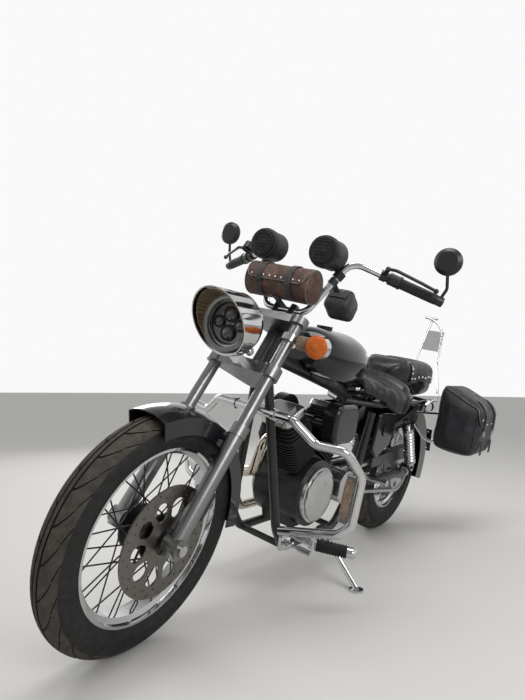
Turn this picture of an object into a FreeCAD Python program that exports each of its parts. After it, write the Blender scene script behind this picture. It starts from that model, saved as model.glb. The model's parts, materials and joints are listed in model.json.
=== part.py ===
import FreeCAD, Part
import Sketcher
import math
import os
import re

from FreeCAD import Placement, Rotation, Vector

# A V-twin cruiser motorcycle, parked on its side stand.
# Bike frame: X forward from the rear axle, Y to the rider's left, Z up from the ground line, upright.
# Fork frame: origin at the front axle, Z up along the fork legs, X forward, Y to the left.
# The whole bike is then leaned onto its stand, and its fork is turned by the steer angle.

SIZES = [
    # alias, millimetres or degrees, meaning
    ("origin_shift_x", 715.9, "rear axle to the middle of the bike's box, along X"),
    ("origin_shift_y", 201.9, "ground line to the middle of the bike's box, along Y"),
    ("lean_angle", 12.0, "lean to the left on the side stand"),
    ("steer_angle", 4.5, "fork turned to the left as it is parked"),
    ("wheel_base", 1510.0, "rear axle to front axle"),
    ("rake_angle", 32.0, "fork and steering head from vertical"),
    ("fork_offset", 66.0, "fork legs ahead of the steering axis"),
    ("front_drop", 1.6, "front axle lower, so that the turned and leaning wheel meets the ground"),
    ("seat_gap", 0.3, "clearance where one piece rests on another"),
    ("shaft_gap", 0.05, "radial running clearance of a shaft"),
    # wheels
    ("front_wheel_radius", 315.0, "front tyre, outside"),
    ("front_tyre_crown", 50.0, "front tyre section radius"),
    ("front_rim_radius", 229.0, "front tyre bead seat"),
    ("front_rim_half", 31.0, "front rim, half width inside its lips"),
    ("rear_wheel_radius", 307.0, "rear tyre, outside"),
    ("rear_tyre_crown", 64.0, "rear tyre section radius"),
    ("rear_rim_radius", 191.0, "rear tyre bead seat"),
    ("rear_rim_half", 41.0, "rear rim, half width inside its lips"),
    ("rim_lip_height", 11.0, "rim lip above the bead seat"),
    ("rim_lip_width", 5.0, "rim lip thickness"),
    ("rim_well_depth", 13.0, "rim well below the bead seat"),
    ("rim_wall", 4.0, "rim wall thickness"),
    ("spoke_radius", 2.0, "spoke wire radius"),
    ("spoke_groups", 9, "groups of four crossed spokes in a wheel"),
    ("spoke_lead", 62.0, "angle that a spoke runs ahead round the hub"),
    ("front_axle_radius", 8.0, "front axle"),
    ("rear_axle_radius", 9.0, "rear axle"),
    ("front_hub_radius", 32.0, "front hub barrel"),
    ("front_hub_half", 52.0, "front hub, half width"),
    ("front_flange_radius", 60.0, "front hub spoke flange"),
    ("front_flange_side", 34.0, "front spoke flange from the middle plane"),
    ("rear_hub_radius", 72.0, "rear drum hub barrel"),
    ("rear_hub_half", 62.0, "rear hub, half width"),
    ("rear_flange_radius", 84.0, "rear hub spoke flange"),
    ("rear_flange_side", 40.0, "rear spoke flange from the middle plane"),
    ("flange_width", 6.0, "spoke flange thickness"),
    ("disc_radius", 146.0, "front brake disc"),
    ("disc_width", 5.0, "brake disc thickness"),
    ("disc_side", 64.0, "disc's middle plane from the wheel's"),
    ("disc_window_radius", 92.0, "circle of the disc's windows"),
    ("disc_windows", 10, "windows in the disc's centre"),
    ("disc_drillings", 20, "small holes in each of the disc's two rows"),
    # fork
    ("leg_side", 97.0, "fork leg from the middle plane"),
    ("slider_radius", 23.0, "lower fork leg"),
    ("slider_length", 348.0, "front axle to the lower leg's top"),
    ("slider_collar", 26.0, "collar radius at the lower leg's top"),
    ("collar_height", 34.0, "height of that collar"),
    ("slider_foot", 30.0, "lower leg below the axle"),
    ("tube_radius", 18.0, "upper fork leg"),
    ("lower_clamp_height", 504.0, "front axle to the lower clamp's underside"),
    ("lower_clamp_thick", 36.0, "lower clamp thickness"),
    ("clamp_front", 26.0, "clamp's front face ahead of the legs"),
    ("upper_clamp_height", 690.0, "front axle to the upper clamp's underside"),
    ("upper_clamp_thick", 26.0, "upper clamp thickness"),
    ("clamp_boss", 28.0, "clamp's round ends about the legs"),
    ("stem_radius", 13.0, "steering stem"),
    ("head_radius", 27.0, "steering head tube, outside"),
    ("head_clear", 6.0, "clamps' running clearance over the head tube"),
    ("stop_angle", 34.0, "steering stop either side of straight ahead"),
    # lamps and bars
    ("lamp_ahead", 165.0, "headlamp glass ahead of the fork legs' line"),
    ("lamp_height", 555.0, "front axle to the headlamp, along the legs"),
    ("hood_radius", 90.0, "headlamp hood at the glass"),
    ("hood_wall", 3.0, "headlamp hood wall"),
    ("hood_depth", 118.0, "headlamp hood behind the glass"),
    ("peak_top", 90.0, "hood's peak ahead of the glass, at the top"),
    ("peak_bottom", -6.0, "hood ahead of the glass, at the bottom"),
    ("glass_radius", 62.0, "headlamp glass"),
    ("bar_radius", 11.1, "handlebar tube"),
    ("bar_back", 40.0, "handlebar's middle behind the legs' line"),
    ("bar_height", 765.0, "front axle to the handlebar's middle"),
    ("bar_clamp_side", 29.0, "handlebar clamps from the middle plane"),
    ("bar_foot_side", 72.0, "handlebar's lower bend from the middle plane"),
    ("bar_crest_side", 160.0, "handlebar's upper bend from the middle plane"),
    ("bar_crest_height", 958.0, "front axle to the upper bend"),
    ("bar_end_side", 396.0, "handlebar's end from the middle plane"),
    ("bar_end_back", 145.0, "handlebar's end behind the legs' line"),
    ("bar_end_height", 980.0, "front axle to the handlebar's end"),
    ("grip_radius", 16.5, "rubber grip"),
    ("grip_length", 122.0, "rubber grip"),
    ("bar_end_length", 24.0, "mirror clamp on the bar's end"),
    ("mirror_radius", 42.0, "round mirror"),
    ("pod_radius", 47.0, "round speaker pod"),
    ("pod_length", 90.0, "speaker pod"),
    ("pod_side", 108.0, "speaker pod's centre from the middle plane"),
    ("indicator_radius", 33.0, "round direction indicator"),
    ("indicator_side", 200.0, "front indicator from the middle plane"),
    ("indicator_height", 640.0, "front axle to the front indicator's stem"),
    ("roll_length", 232.0, "leather tool roll"),
    ("roll_height", 104.0, "leather tool roll"),
    ("roll_ahead", 39.0, "tool roll's middle ahead of the legs' line"),
    ("roll_up", 808.0, "front axle to the tool roll's middle"),
    ("pouch_back", 130.0, "bar pouch's middle behind the legs' line"),
    ("pouch_side", 122.0, "bar pouch's middle from the middle plane"),
    ("pouch_up", 882.0, "front axle to the bar pouch's middle"),
    # fenders
    ("front_fender_gap", 17.0, "front tyre to its fender"),
    ("front_fender_half", 62.0, "front fender, half width"),
    ("front_fender_skirt", 46.0, "front fender side's depth"),
    ("rear_fender_gap", 26.0, "rear tyre to its fender"),
    ("rear_fender_half", 88.0, "rear fender, half width"),
    ("rear_fender_skirt", 78.0, "rear fender side's depth"),
    ("fender_wall", 3.0, "fender sheet"),
    # frame
    ("frame_tube", 15.0, "main frame tube radius"),
    ("rail_tube", 11.0, "seat rail tube radius"),
    ("spine_tube", 22.0, "backbone tube radius"),
    ("cradle_side", 92.0, "cradle tubes from the middle plane"),
    ("cradle_front", 1032.0, "rear axle to the cradle's lower front bend"),
    ("cradle_low", 172.0, "ground to the cradle's bottom tubes"),
    ("pivot_ahead", 545.0, "rear axle to the swingarm pivot"),
    ("pivot_height", 318.0, "ground to the swingarm pivot"),
    ("pivot_side", 104.0, "swingarm pivot plates from the middle plane"),
    ("rail_side", 112.0, "seat rails from the middle plane"),
    ("rail_height", 640.0, "ground to the seat rails"),
    ("rail_back", 150.0, "seat rails behind the rear axle"),
    # engine
    ("crank_ahead", 815.0, "rear axle to the crankshaft"),
    ("crank_height", 330.0, "ground to the crankshaft"),
    ("case_half", 92.0, "crankcase half width"),
    ("bank_angle", 30.0, "each cylinder from vertical"),
    ("barrel_start", 124.0, "crankshaft to the cylinder's foot"),
    ("barrel_length", 118.0, "finned barrel"),
    ("barrel_radius", 50.0, "barrel inside the fins"),
    ("head_length", 58.0, "cylinder head"),
    ("fin_count", 11, "cooling fins on a barrel"),
    ("fin_thick", 3.6, "cooling fin"),
    ("fin_long", 138.0, "cooling fin, across the V"),
    ("fin_wide", 150.0, "cooling fin, across the bike"),
    ("fin_round", 26.0, "cooling fin corner"),
    ("case_radius", 118.0, "round crankcase"),
    ("gearbox_ahead", 643.0, "rear axle to the gearbox's output shaft"),
    ("gearbox_height", 335.0, "ground to the gearbox's output shaft"),
    ("gearbox_radius", 60.0, "gearbox housing"),
    ("gearbox_half", 62.0, "gearbox half width"),
    ("header_radius", 19.0, "exhaust header pipe"),
    ("silencer_radius", 36.0, "silencer"),
    ("silencer_front", 452.0, "rear axle to the silencers' front ends"),
    ("silencer_length", 780.0, "lower silencer"),
    ("silencer_side", 176.0, "silencers from the middle plane"),
    ("silencer_low", 196.0, "ground to the lower silencer"),
    ("silencer_step", 80.0, "lower silencer to the upper one"),
    ("cover_radius", 98.0, "round crankcase cover"),
    ("cover_depth", 34.0, "round crankcase cover"),
    # tank, seats, bags
    ("tank_rear", 532.0, "rear axle to the tank's rear end"),
    ("tank_length", 408.0, "fuel tank"),
    ("tank_half", 134.0, "fuel tank, half width"),
    ("tank_bottom", 735.0, "ground to the tank's bottom"),
    ("tank_top", 905.0, "ground to the tank's top"),
    ("seat_rise", 112.0, "seat rails to the rider's seat top"),
    ("seat_skirt", 26.0, "rider's seat sides below the rails' middle"),
    ("seat_half", 158.0, "rider's seat, half width"),
    ("seat_front", 520.0, "rear axle to the rider's seat nose"),
    ("seat_rear", 118.0, "rear axle to the rider's seat back"),
    ("pillion_rise", 72.0, "seat rails to the pillion seat's overhanging front"),
    ("pillion_thick", 122.0, "pillion seat above that front's underside"),
    ("pillion_half", 118.0, "pillion seat, half width"),
    ("pillion_front", 262.0, "rear axle to the pillion seat's front"),
    ("pillion_rear", -200.0, "rear axle to the pillion seat's back"),
    ("bag_front", -45.0, "rear axle to the saddlebag's front"),
    ("bag_length", 330.0, "saddlebag"),
    ("bag_inner", 178.0, "saddlebag's inner face from the middle plane"),
    ("bag_thick", 205.0, "saddlebag"),
    ("bag_low", 440.0, "ground to the saddlebag's bottom"),
    ("bag_high", 760.0, "ground to the saddlebag's top, at its inner side"),
    # rear end
    ("arm_tube", 17.0, "swingarm tube radius"),
    ("arm_side", 104.0, "swingarm tubes from the middle plane"),
    ("pivot_bolt", 8.0, "swingarm pivot bolt's bore"),
    ("pivot_tube", 20.0, "swingarm pivot tube"),
    ("shock_pin", 8.0, "shock mounting pins"),
    ("bag_rod", 6.0, "saddlebag rail rod"),
    ("bag_slope", 46.0, "saddlebag lid's fall towards its outer side"),
    ("plate_bore", 3.0, "bores for the number plate's screws"),
    ("stand_pin", 6.0, "side stand's pivot pin"),
    ("shock_side", 138.0, "rear shock from the middle plane"),
    ("shock_radius", 25.0, "rear shock spring"),
    ("shock_top_ahead", 168.0, "rear axle to the shock's top"),
    ("shock_top_height", 566.0, "ground to the shock's top"),
    ("shock_foot_ahead", 22.0, "rear axle to the shock's foot"),
    ("shock_foot_height", 342.0, "ground to the shock's foot"),
    ("coil_count", 11, "coils of a rear spring"),
    ("sprocket_radius", 96.0, "rear sprocket"),
    ("sprocket_side", 78.0, "chain line from the middle plane"),
    ("sprocket_width", 7.0, "sprocket thickness"),
    ("chain_pitch", 15.875, "chain, pin to pin"),
    ("front_sprocket", 36.0, "chain's front bend radius"),
    ("rear_lamp_ahead", 58.0, "rear axle to the rear indicators"),
    ("rear_lamp_side", 168.0, "rear indicators from the middle plane"),
    ("sissy_height", 1064.0, "ground to the backrest's top"),
    ("sissy_rod", 6.5, "backrest rod radius"),
    # guard, pegs, stand
    ("guard_tube", 14.0, "engine guard tube radius"),
    ("guard_half", 338.0, "engine guard, half width"),
    ("guard_top_ahead", 1139.0, "rear axle to the guard's top"),
    ("guard_top_height", 622.0, "ground to the guard's top"),
    ("guard_low_ahead", 1040.0, "rear axle to the guard's lower ends"),
    ("guard_low_height", 251.0, "ground to the guard's lower ends"),
    ("peg_ahead", 985.0, "rear axle to the rider's footpegs"),
    ("peg_height", 236.0, "ground to the rider's footpegs"),
    ("peg_radius", 17.0, "footpeg rubber"),
    ("peg_length", 112.0, "footpeg rubber"),
    ("peg_inner", 214.0, "footpeg's inner end from the middle plane"),
    ("stand_ahead", 735.0, "rear axle to the stand's pivot"),
    ("stand_side", 128.0, "stand's pivot from the middle plane"),
    ("stand_height", 168.0, "ground to the stand's pivot"),
    ("foot_ahead", 800.0, "rear axle to the stand's foot"),
    ("foot_side", 304.0, "stand's foot from the middle plane"),
    ("stand_tube", 10.0, "stand leg radius"),
    ("stand_swing", 104.0, "stand's swing from parked to folded"),
]
VALUES = {alias: value for alias, value, meaning in SIZES}
WORD = re.compile(r"[a-z][a-z_0-9]*")

doc = FreeCAD.newDocument("cruiser_motorcycle")
sheet = doc.addObject("Spreadsheet::Sheet", "Sizes")
for row, (alias, value, meaning) in enumerate(SIZES, 1):
    sheet.set(f"A{row}", alias)
    sheet.set(f"B{row}", str(value))
    sheet.set(f"C{row}", meaning)
    sheet.setAlias(f"B{row}", alias)
doc.recompute()


class Named:
    """The sheet's values, by alias."""

    def __getattr__(self, alias):
        return float(sheet.get(alias))


s = Named()


def in_sheet(formula):
    """A formula whose size names point into the sheet."""
    return WORD.sub(lambda m: "Sizes." + m.group() if m.group() in VALUES else m.group(), str(formula))


def bind(item, **formulas):
    """Ties an object's properties to formulas of the sheet's sizes."""
    for name, formula in formulas.items():
        item.setExpression(name, in_sheet(formula))
    return item


def place(item, x="0", y="0", z="0", turn=None):
    """Ties an object's place to formulas; turn is its rotation."""
    if turn:
        item.Placement = Placement(Vector(0, 0, 0), turn)
    for letter, formula in (("x", x), ("y", y), ("z", z)):
        item.setExpression("Placement.Base." + letter, in_sheet(formula))
    return item


ALONG_X = Rotation(Vector(0, 1, 0), 90)
ALONG_Y = Rotation(Vector(1, 0, 0), -90)
WHEEL_HALF = Rotation(Vector(0, 0, 1), 90)
SIDE_VIEW = Rotation(Vector(1, 0, 0), 90)


def section(points, plane):
    """A closed outline of straight lines whose corners are tied to formulas."""
    item = doc.addObject("Sketcher::SketchObject", "Section")
    item.Placement = Placement(Vector(0, 0, 0), plane)
    count = len(points)
    starts = [Rotation(Vector(0, 0, 1), 360.0 * k / count).multVec(Vector(100, 0, 0)) for k in range(count)]
    for k in range(count):
        item.addGeometry(Part.LineSegment(starts[k], starts[(k + 1) % count]), False)
    for k in range(count):
        item.addConstraint(Sketcher.Constraint("Coincident", k, 2, (k + 1) % count, 1))
    for k, (across, up) in enumerate(points):
        number = item.addConstraint(Sketcher.Constraint("DistanceX", -1, 1, k, 1, starts[k].x))
        item.setExpression(f"Constraints[{number}]", in_sheet(across))
        number = item.addConstraint(Sketcher.Constraint("DistanceY", -1, 1, k, 1, starts[k].y))
        item.setExpression(f"Constraints[{number}]", in_sheet(up))
    return item


def revolved(outline_sketch, axis=(0, 1, 0)):
    item = doc.addObject("Part::Revolution", "Turned")
    item.Source = outline_sketch
    item.Axis = axis
    item.Angle = 360
    item.Solid = True
    return item


def extruded(outline_sketch, half_width):
    """An outline in the side view made solid to both sides."""
    item = doc.addObject("Part::Extrusion", "Extruded")
    item.Base = outline_sketch
    item.DirMode = "Custom"
    item.Dir = Vector(0, 1, 0)
    item.Solid = True
    item.Symmetric = True
    item.setExpression("LengthFwd", in_sheet(f"2 * ({half_width})"))
    return item


def cylinder(radius, height, **where):
    item = bind(doc.addObject("Part::Cylinder", "Cylinder"), Radius=radius, Height=height)
    return place(item, **where)


def box(length, width, height, **where):
    """A box whose place is its lowest corner."""
    item = bind(doc.addObject("Part::Box", "Box"), Length=length, Width=width, Height=height)
    return place(item, **where)


def cone(low_radius, top_radius, height, **where):
    item = bind(doc.addObject("Part::Cone", "Cone"), Radius1=low_radius, Radius2=top_radius, Height=height)
    return place(item, **where)


def torus(ring, section, **where):
    item = bind(doc.addObject("Part::Torus", "Torus"), Radius1=ring, Radius2=section)
    return place(item, **where)


def fuse(*items):
    if len(items) == 1:
        return items[0]
    item = doc.addObject("Part::MultiFuse", "Fusion")
    item.Shapes = list(items)
    return item


def cut(base, *tools):
    item = doc.addObject("Part::Cut", "Cut")
    item.Base = base
    item.Tool = fuse(*tools)
    return item


def common(first, second):
    item = doc.addObject("Part::Common", "Common")
    item.Base = first
    item.Tool = second
    return item


def rounded(item, radius, keep):
    """Rounds those edges of an object for which keep(edge) is true."""
    doc.recompute()
    found = [(n, radius, radius) for n, edge in enumerate(item.Shape.Edges, 1) if keep(edge)]
    fillet = doc.addObject("Part::Fillet", "Fillet")
    fillet.Base = item
    fillet.Edges = found
    return fillet


def drawn(shape, name="Drawn"):
    """An object that holds a shape worked out here."""
    item = doc.addObject("Part::Feature", name)
    item.Shape = shape
    return item


def both_sides(left):
    """A left-hand piece and its mirror image, as solids of one object."""
    right = doc.addObject("Part::Mirroring", "RightHand")
    right.Source = left
    right.Normal = Vector(0, 1, 0)
    pair = doc.addObject("Part::Compound", "Pair")
    pair.Links = [left, right]
    return pair


def rounded_path(points, bends):
    """Straight runs between points, joined by tangent arcs of the given radii."""
    points = [Vector(*p) for p in points]
    edges = []
    start = points[0]
    for before, corner, after, radius in zip(points, points[1:], points[2:], bends):
        toward = (before - corner).normalize()
        onward = (after - corner).normalize()
        half = toward.getAngle(onward) / 2
        setback = radius / math.tan(half)
        first = corner + toward * setback
        last = corner + onward * setback
        middle_way = (toward + onward).normalize()
        middle = corner + middle_way * (radius / math.sin(half) - radius)
        edges.append(Part.makeLine(start, first))
        edges.append(Part.Arc(first, middle, last).toShape())
        start = last
    edges.append(Part.makeLine(start, points[-1]))
    return Part.Wire(edges)


def tube(points, bends, radius):
    """A round bar bent along a path."""
    if not isinstance(bends, (list, tuple)):
        bends = [bends] * (len(points) - 2)
    path = rounded_path(points, bends)
    start = Vector(*points[0])
    heading = Vector(*points[1]) - start
    ring = Part.Wire(Part.makeCircle(radius, start, heading))
    return path.makePipeShell([ring], True, True)


def rod(start, end, radius):
    start, end = Vector(*start), Vector(*end)
    return Part.makeCylinder(radius, (end - start).Length, start, end - start)


def cross_rod(ahead, half, up, radius):
    """A round rod across the bike, as far to either side of the middle plane."""
    return rod((ahead, -half, up), (ahead, half, up), radius)


def joined(shape, *others):
    """Shapes fused one after another. A fuse that loses a shape is an error."""
    for other in others:
        both = shape.fuse(other)
        if both.Volume < max(shape.Volume, other.Volume) - 1:
            raise RuntimeError("a fuse has lost a shape")
        shape = both
    return shape


def mirrored(shape):
    return shape.mirror(Vector(0, 0, 0), Vector(0, 1, 0))


def outline(points):
    """A closed wire through points; a point given with 'arc' is the middle of an arc."""
    edges = []
    points = list(points) + [points[0]]
    n = 0
    while n < len(points) - 1:
        here = Vector(*points[n][:3])
        if len(points[n + 1]) > 3:
            through = Vector(*points[n + 1][:3])
            there = Vector(*points[n + 2][:3])
            edges.append(Part.Arc(here, through, there).toShape())
            n += 2
        else:
            edges.append(Part.makeLine(here, Vector(*points[n + 1][:3])))
            n += 1
    return Part.Wire(edges)


def turned(points, axis, angle=360.0, start=0.0):
    """A solid turned from a closed outline of (x, z) or arc points about an axis through the origin."""
    wire = outline(points)
    face = Part.Face(wire)
    if start:
        face.rotate(Vector(0, 0, 0), axis, start)
    return face.revolve(Vector(0, 0, 0), axis, angle)


# Frames of reference
fork_tilt = Placement(
    Vector(s.wheel_base, 0, s.front_wheel_radius - s.front_drop), Rotation(Vector(0, 1, 0), -s.rake_angle)
)
steer = Placement(Vector(0, 0, 0), Rotation(Vector(0, 0, 1), s.steer_angle), Vector(-s.fork_offset, 0, 0))
lean_lift = s.rear_tyre_crown * (1 - math.cos(math.radians(s.lean_angle)))
CHASSIS = Placement(
    Vector(-s.origin_shift_x, -s.origin_shift_y, lean_lift), Rotation(Vector(1, 0, 0), -s.lean_angle)
)
FORK = CHASSIS * fork_tilt * steer
REAR = CHASSIS * Placement(Vector(0, 0, s.rear_wheel_radius), Rotation())

PARTS = []


def part(name, item, frame):
    """Names a finished sub-part and puts it in its frame."""
    doc.recompute()
    item.Label = name
    item.Placement = frame.multiply(item.Placement)
    PARTS.append(item)


def fork_point(ahead, side, up):
    """A point of the unturned fork, in the bike frame."""
    return fork_tilt.multVec(Vector(ahead, side, up))


# Wheels, each about its own axle along Y


def tyre(radius, crown, bead, half):
    ring = torus(f"{radius} - {crown}", crown, turn=ALONG_Y)
    middle = cylinder(bead, f"2 * {crown} + 2", y=f"-{crown} - 1", turn=ALONG_Y)
    left = cylinder(f"{bead} + rim_lip_height", crown, y=half, turn=ALONG_Y)
    right = cylinder(f"{bead} + rim_lip_height", crown, y=f"-{half} - {crown}", turn=ALONG_Y)
    return cut(ring, middle, left, right)


def rim(bead, half):
    """A drop-centre rim, turned from its channel section."""
    lip = f"{half} + rim_lip_width"
    low = f"{bead} - rim_wall"
    right = [
        (lip, f"{bead} + rim_lip_height"),
        (half, f"{bead} + rim_lip_height"),
        (half, bead),
        (f"{half} - 9", bead),
        (f"{half} - 15", f"{bead} - rim_well_depth"),
    ]
    under = [
        (f"{half} - 15 + 0.4 * rim_wall", f"{bead} - rim_well_depth - rim_wall"),
        (f"{half} - 9 + 0.4 * rim_wall", low),
        (lip, low),
    ]
    top = right + [(f"-({a})", b) for a, b in reversed(right)]
    bottom = [(f"-({a})", b) for a, b in reversed(under)] + under
    return revolved(section(top + bottom, WHEEL_HALF))


def laced_hub(profile, bore, bead, flange, flange_side, wire_spread):
    """A hub turned from its outline, bored for its axle, with crossed wire spokes."""
    barrel = revolved(section(profile, WHEEL_HALF))
    hole = cylinder(f"{bore} + shaft_gap", "300", y="-150", turn=ALONG_Y)
    doc.recompute()
    reach = bead - s.rim_well_depth - s.rim_wall - s.seat_gap
    wires = []
    groups = int(s.spoke_groups)
    for group in range(groups):
        for place_in_group, (side, lead) in enumerate(((1, 1), (-1, 1), (1, -1), (-1, -1))):
            at_rim = 360.0 / groups * (group + place_in_group / 4)
            at_hub = math.radians(at_rim - lead * s.spoke_lead)
            at_rim = math.radians(at_rim)
            inner = flange - 7.0
            start = (inner * math.cos(at_hub), side * flange_side, inner * math.sin(at_hub))
            end = (reach * math.cos(at_rim), side * wire_spread, reach * math.sin(at_rim))
            past = Vector(*end) + (Vector(*end) - Vector(*start)).normalize() * 5
            wires.append(rod(start, past, s.spoke_radius))
    inside = Part.makeCylinder(reach, 300, Vector(0, -150, 0), Vector(0, 1, 0))
    laced = wires[0].fuse(wires[1:]).common(inside)
    return cut(fuse(barrel, drawn(laced, "Spokes")), hole)


part(
    "front_tyre",
    tyre("front_wheel_radius", "front_tyre_crown", "front_rim_radius", "front_rim_half"),
    FORK,
)
part("front_rim", rim("front_rim_radius", "front_rim_half"), FORK)
front_hub_profile = [
    ("disc_side - disc_width / 2", "0"),
    ("disc_side - disc_width / 2", "44"),
    ("front_hub_half - 8", "44"),
    ("front_flange_side + flange_width", "front_hub_radius"),
    ("front_flange_side + flange_width", "front_flange_radius"),
    ("front_flange_side", "front_flange_radius"),
    ("front_flange_side", "front_hub_radius"),
    ("-front_flange_side", "front_hub_radius"),
    ("-front_flange_side", "front_flange_radius"),
    ("-front_flange_side - flange_width", "front_flange_radius"),
    ("-front_flange_side - flange_width", "front_hub_radius"),
    ("-front_hub_half", "front_hub_radius - 10"),
    ("-front_hub_half", "0"),
]
part(
    "front_hub",
    laced_hub(
        front_hub_profile,
        "front_axle_radius",
        s.front_rim_radius,
        s.front_flange_radius,
        s.front_flange_side + s.flange_width / 2,
        6.0,
    ),
    FORK,
)


def brake_disc():
    """A drilled disc with rounded windows inside its braking track."""
    low = s.disc_side - s.disc_width / 2
    y_axis = Vector(0, 1, 0)
    disc = Part.makeCylinder(s.disc_radius, s.disc_width, Vector(0, low, 0), y_axis)
    holes = [Part.makeCylinder(34.0, s.disc_width, Vector(0, low, 0), y_axis)]
    windows = int(s.disc_windows)
    for n in range(windows):
        turn = 360.0 / windows * n
        hole = Part.makeCylinder(17.0, s.disc_width, Vector(s.disc_window_radius - 13, low, 0), y_axis)
        wide = Part.makeCylinder(22.0, s.disc_width, Vector(s.disc_window_radius, low, 0), y_axis)
        window = hole.fuse(wide)
        window.rotate(Vector(0, 0, 0), y_axis, turn)
        holes.append(window)
    track = (s.disc_radius + s.disc_window_radius + 22) / 2
    drillings = int(s.disc_drillings)
    for n in range(2 * drillings):
        row = track - 7 if n % 2 else track + 7
        hole = Part.makeCylinder(3.2, s.disc_width, Vector(row, low, 0), y_axis)
        hole.rotate(Vector(0, 0, 0), y_axis, 180.0 / drillings * n)
        holes.append(hole)
    return disc.cut(holes)


part("brake_disc", drawn(brake_disc()), FORK)
part(
    "rear_tyre",
    tyre("rear_wheel_radius", "rear_tyre_crown", "rear_rim_radius", "rear_rim_half"),
    REAR,
)
part("rear_rim", rim("rear_rim_radius", "rear_rim_half"), REAR)
rear_hub_profile = [
    ("sprocket_side - 3.5", "0"),
    ("sprocket_side - 3.5", "52"),
    ("rear_hub_half", "58"),
    ("rear_flange_side + flange_width", "rear_hub_radius"),
    ("rear_flange_side + flange_width", "rear_flange_radius"),
    ("rear_flange_side", "rear_flange_radius"),
    ("rear_flange_side", "rear_hub_radius"),
    ("-rear_flange_side", "rear_hub_radius"),
    ("-rear_flange_side", "rear_flange_radius"),
    ("-rear_flange_side - flange_width", "rear_flange_radius"),
    ("-rear_flange_side - flange_width", "rear_hub_radius"),
    ("-rear_hub_half", "rear_hub_radius"),
    ("-rear_hub_half", "0"),
]
part(
    "rear_hub",
    laced_hub(
        rear_hub_profile,
        "rear_axle_radius",
        s.rear_rim_radius,
        s.rear_flange_radius,
        s.rear_flange_side + s.flange_width / 2,
        6.0,
    ),
    REAR,
)


def rear_sprocket():
    """A toothed wheel, its teeth in the links' gaps."""
    teeth = int(round(2 * math.pi * s.sprocket_radius / s.chain_pitch))
    half = s.sprocket_width / 2
    points = []
    for n in range(teeth):
        for part_turn, radius in ((-0.32, -3.5), (-0.12, 4.0), (0.12, 4.0), (0.32, -3.5)):
            angle = 2 * math.pi * (n + part_turn) / teeth
            reach = s.sprocket_radius + radius
            points.append((reach * math.cos(angle), s.sprocket_side - half, reach * math.sin(angle)))
    wheel = Part.Face(outline(points)).extrude(Vector(0, s.sprocket_width, 0))
    y_axis = Vector(0, 1, 0)
    bores = [Part.makeCylinder(30.0, 40, Vector(0, s.sprocket_side - 20, 0), y_axis)]
    for n in range(5):
        bore = Part.makeCylinder(14.0, 40, Vector(70, s.sprocket_side - 20, 0), y_axis)
        bore.rotate(Vector(0, 0, 0), y_axis, 72.0 * n)
        bores.append(bore)
    return wheel.cut(bores)


part("rear_sprocket", drawn(rear_sprocket()), REAR)


# Fork and what turns with it, in the fork frame


def leg_bore(extra=0.05):
    """Both upper fork legs, as a tool for bores."""
    left = rod((0, s.leg_side, 0), (0, s.leg_side, 900), s.tube_radius + extra)
    return left.fuse(mirrored(left))


def fork_legs():
    slider = cylinder("slider_radius", "slider_length + slider_foot", y="leg_side", z="-slider_foot")
    collar = cylinder(
        "slider_collar", "collar_height", y="leg_side", z="slider_length - collar_height"
    )
    boss = cylinder("slider_radius + 3", "2 * slider_radius", y="leg_side - slider_radius", turn=ALONG_Y)
    upper = cylinder(
        "tube_radius",
        "upper_clamp_height + upper_clamp_thick + 6 - slider_length",
        y="leg_side",
        z="slider_length",
    )
    axle = cylinder("front_axle_radius + shaft_gap", "200", turn=ALONG_Y)
    left = cut(fuse(slider, collar, boss, upper), axle)
    return both_sides(left)


def front_axle():
    length = "2 * leg_side + 2 * slider_radius + 16"
    spindle = cylinder("front_axle_radius", length, y="-leg_side - slider_radius - 8", turn=ALONG_Y)
    left_nut = cylinder("14", "8", y="leg_side + slider_radius + seat_gap", turn=ALONG_Y)
    right_nut = cylinder("14", "8", y="-leg_side - slider_radius - seat_gap - 8", turn=ALONG_Y)
    left_spacer = cylinder(
        "14",
        "leg_side - slider_radius - disc_side - disc_width / 2 - 2 * seat_gap",
        y="disc_side + disc_width / 2 + seat_gap",
        turn=ALONG_Y,
    )
    right_spacer = cylinder(
        "14",
        "leg_side - slider_radius - front_hub_half - 2 * seat_gap",
        y="-leg_side + slider_radius + seat_gap",
        turn=ALONG_Y,
    )
    return fuse(spindle, left_nut, right_nut, left_spacer, right_spacer)


def fork_clamps():
    """Lower and upper clamps on one steering stem, bored for the legs."""
    pieces = []
    for low, thick in (
        (s.lower_clamp_height, s.lower_clamp_thick),
        (s.upper_clamp_height, s.upper_clamp_thick),
    ):
        front = s.clamp_front - 6
        back = -s.fork_offset
        shape = [
            (front, -s.leg_side, low),
            (front, s.leg_side, low),
            (-s.clamp_boss + 4, s.leg_side, low),
            (back - 24, 26, low),
            (back - 24, -26, low),
            (-s.clamp_boss + 4, -s.leg_side, low),
        ]
        pieces.append(Part.Face(outline(shape)).extrude(Vector(0, 0, thick)))
        pieces.append(Part.makeCylinder(34.0, thick, Vector(back, 0, low)))
        for side in (-1, 1):
            pieces.append(Part.makeCylinder(s.clamp_boss, thick, Vector(0, side * s.leg_side, low)))
    top = s.upper_clamp_height + s.upper_clamp_thick
    pieces.append(
        Part.makeCylinder(s.stem_radius, top - s.lower_clamp_height, Vector(-s.fork_offset, 0, s.lower_clamp_height))
    )
    pieces.append(Part.makeCylinder(19.0, 12.0, Vector(-s.fork_offset, 0, top)))
    for side in (-1, 1):
        base = Vector(-s.bar_back, side * s.bar_clamp_side, top - 2)
        pieces.append(Part.makeCylinder(15.0, s.bar_height + s.bar_radius + 7 - top + 2, base))
    body = pieces[0].fuse(pieces[1:])
    bar = rod((-s.bar_back, -80, s.bar_height), (-s.bar_back, 80, s.bar_height), s.bar_radius + s.shaft_gap)
    return body.cut([leg_bore(s.shaft_gap), bar])


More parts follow.
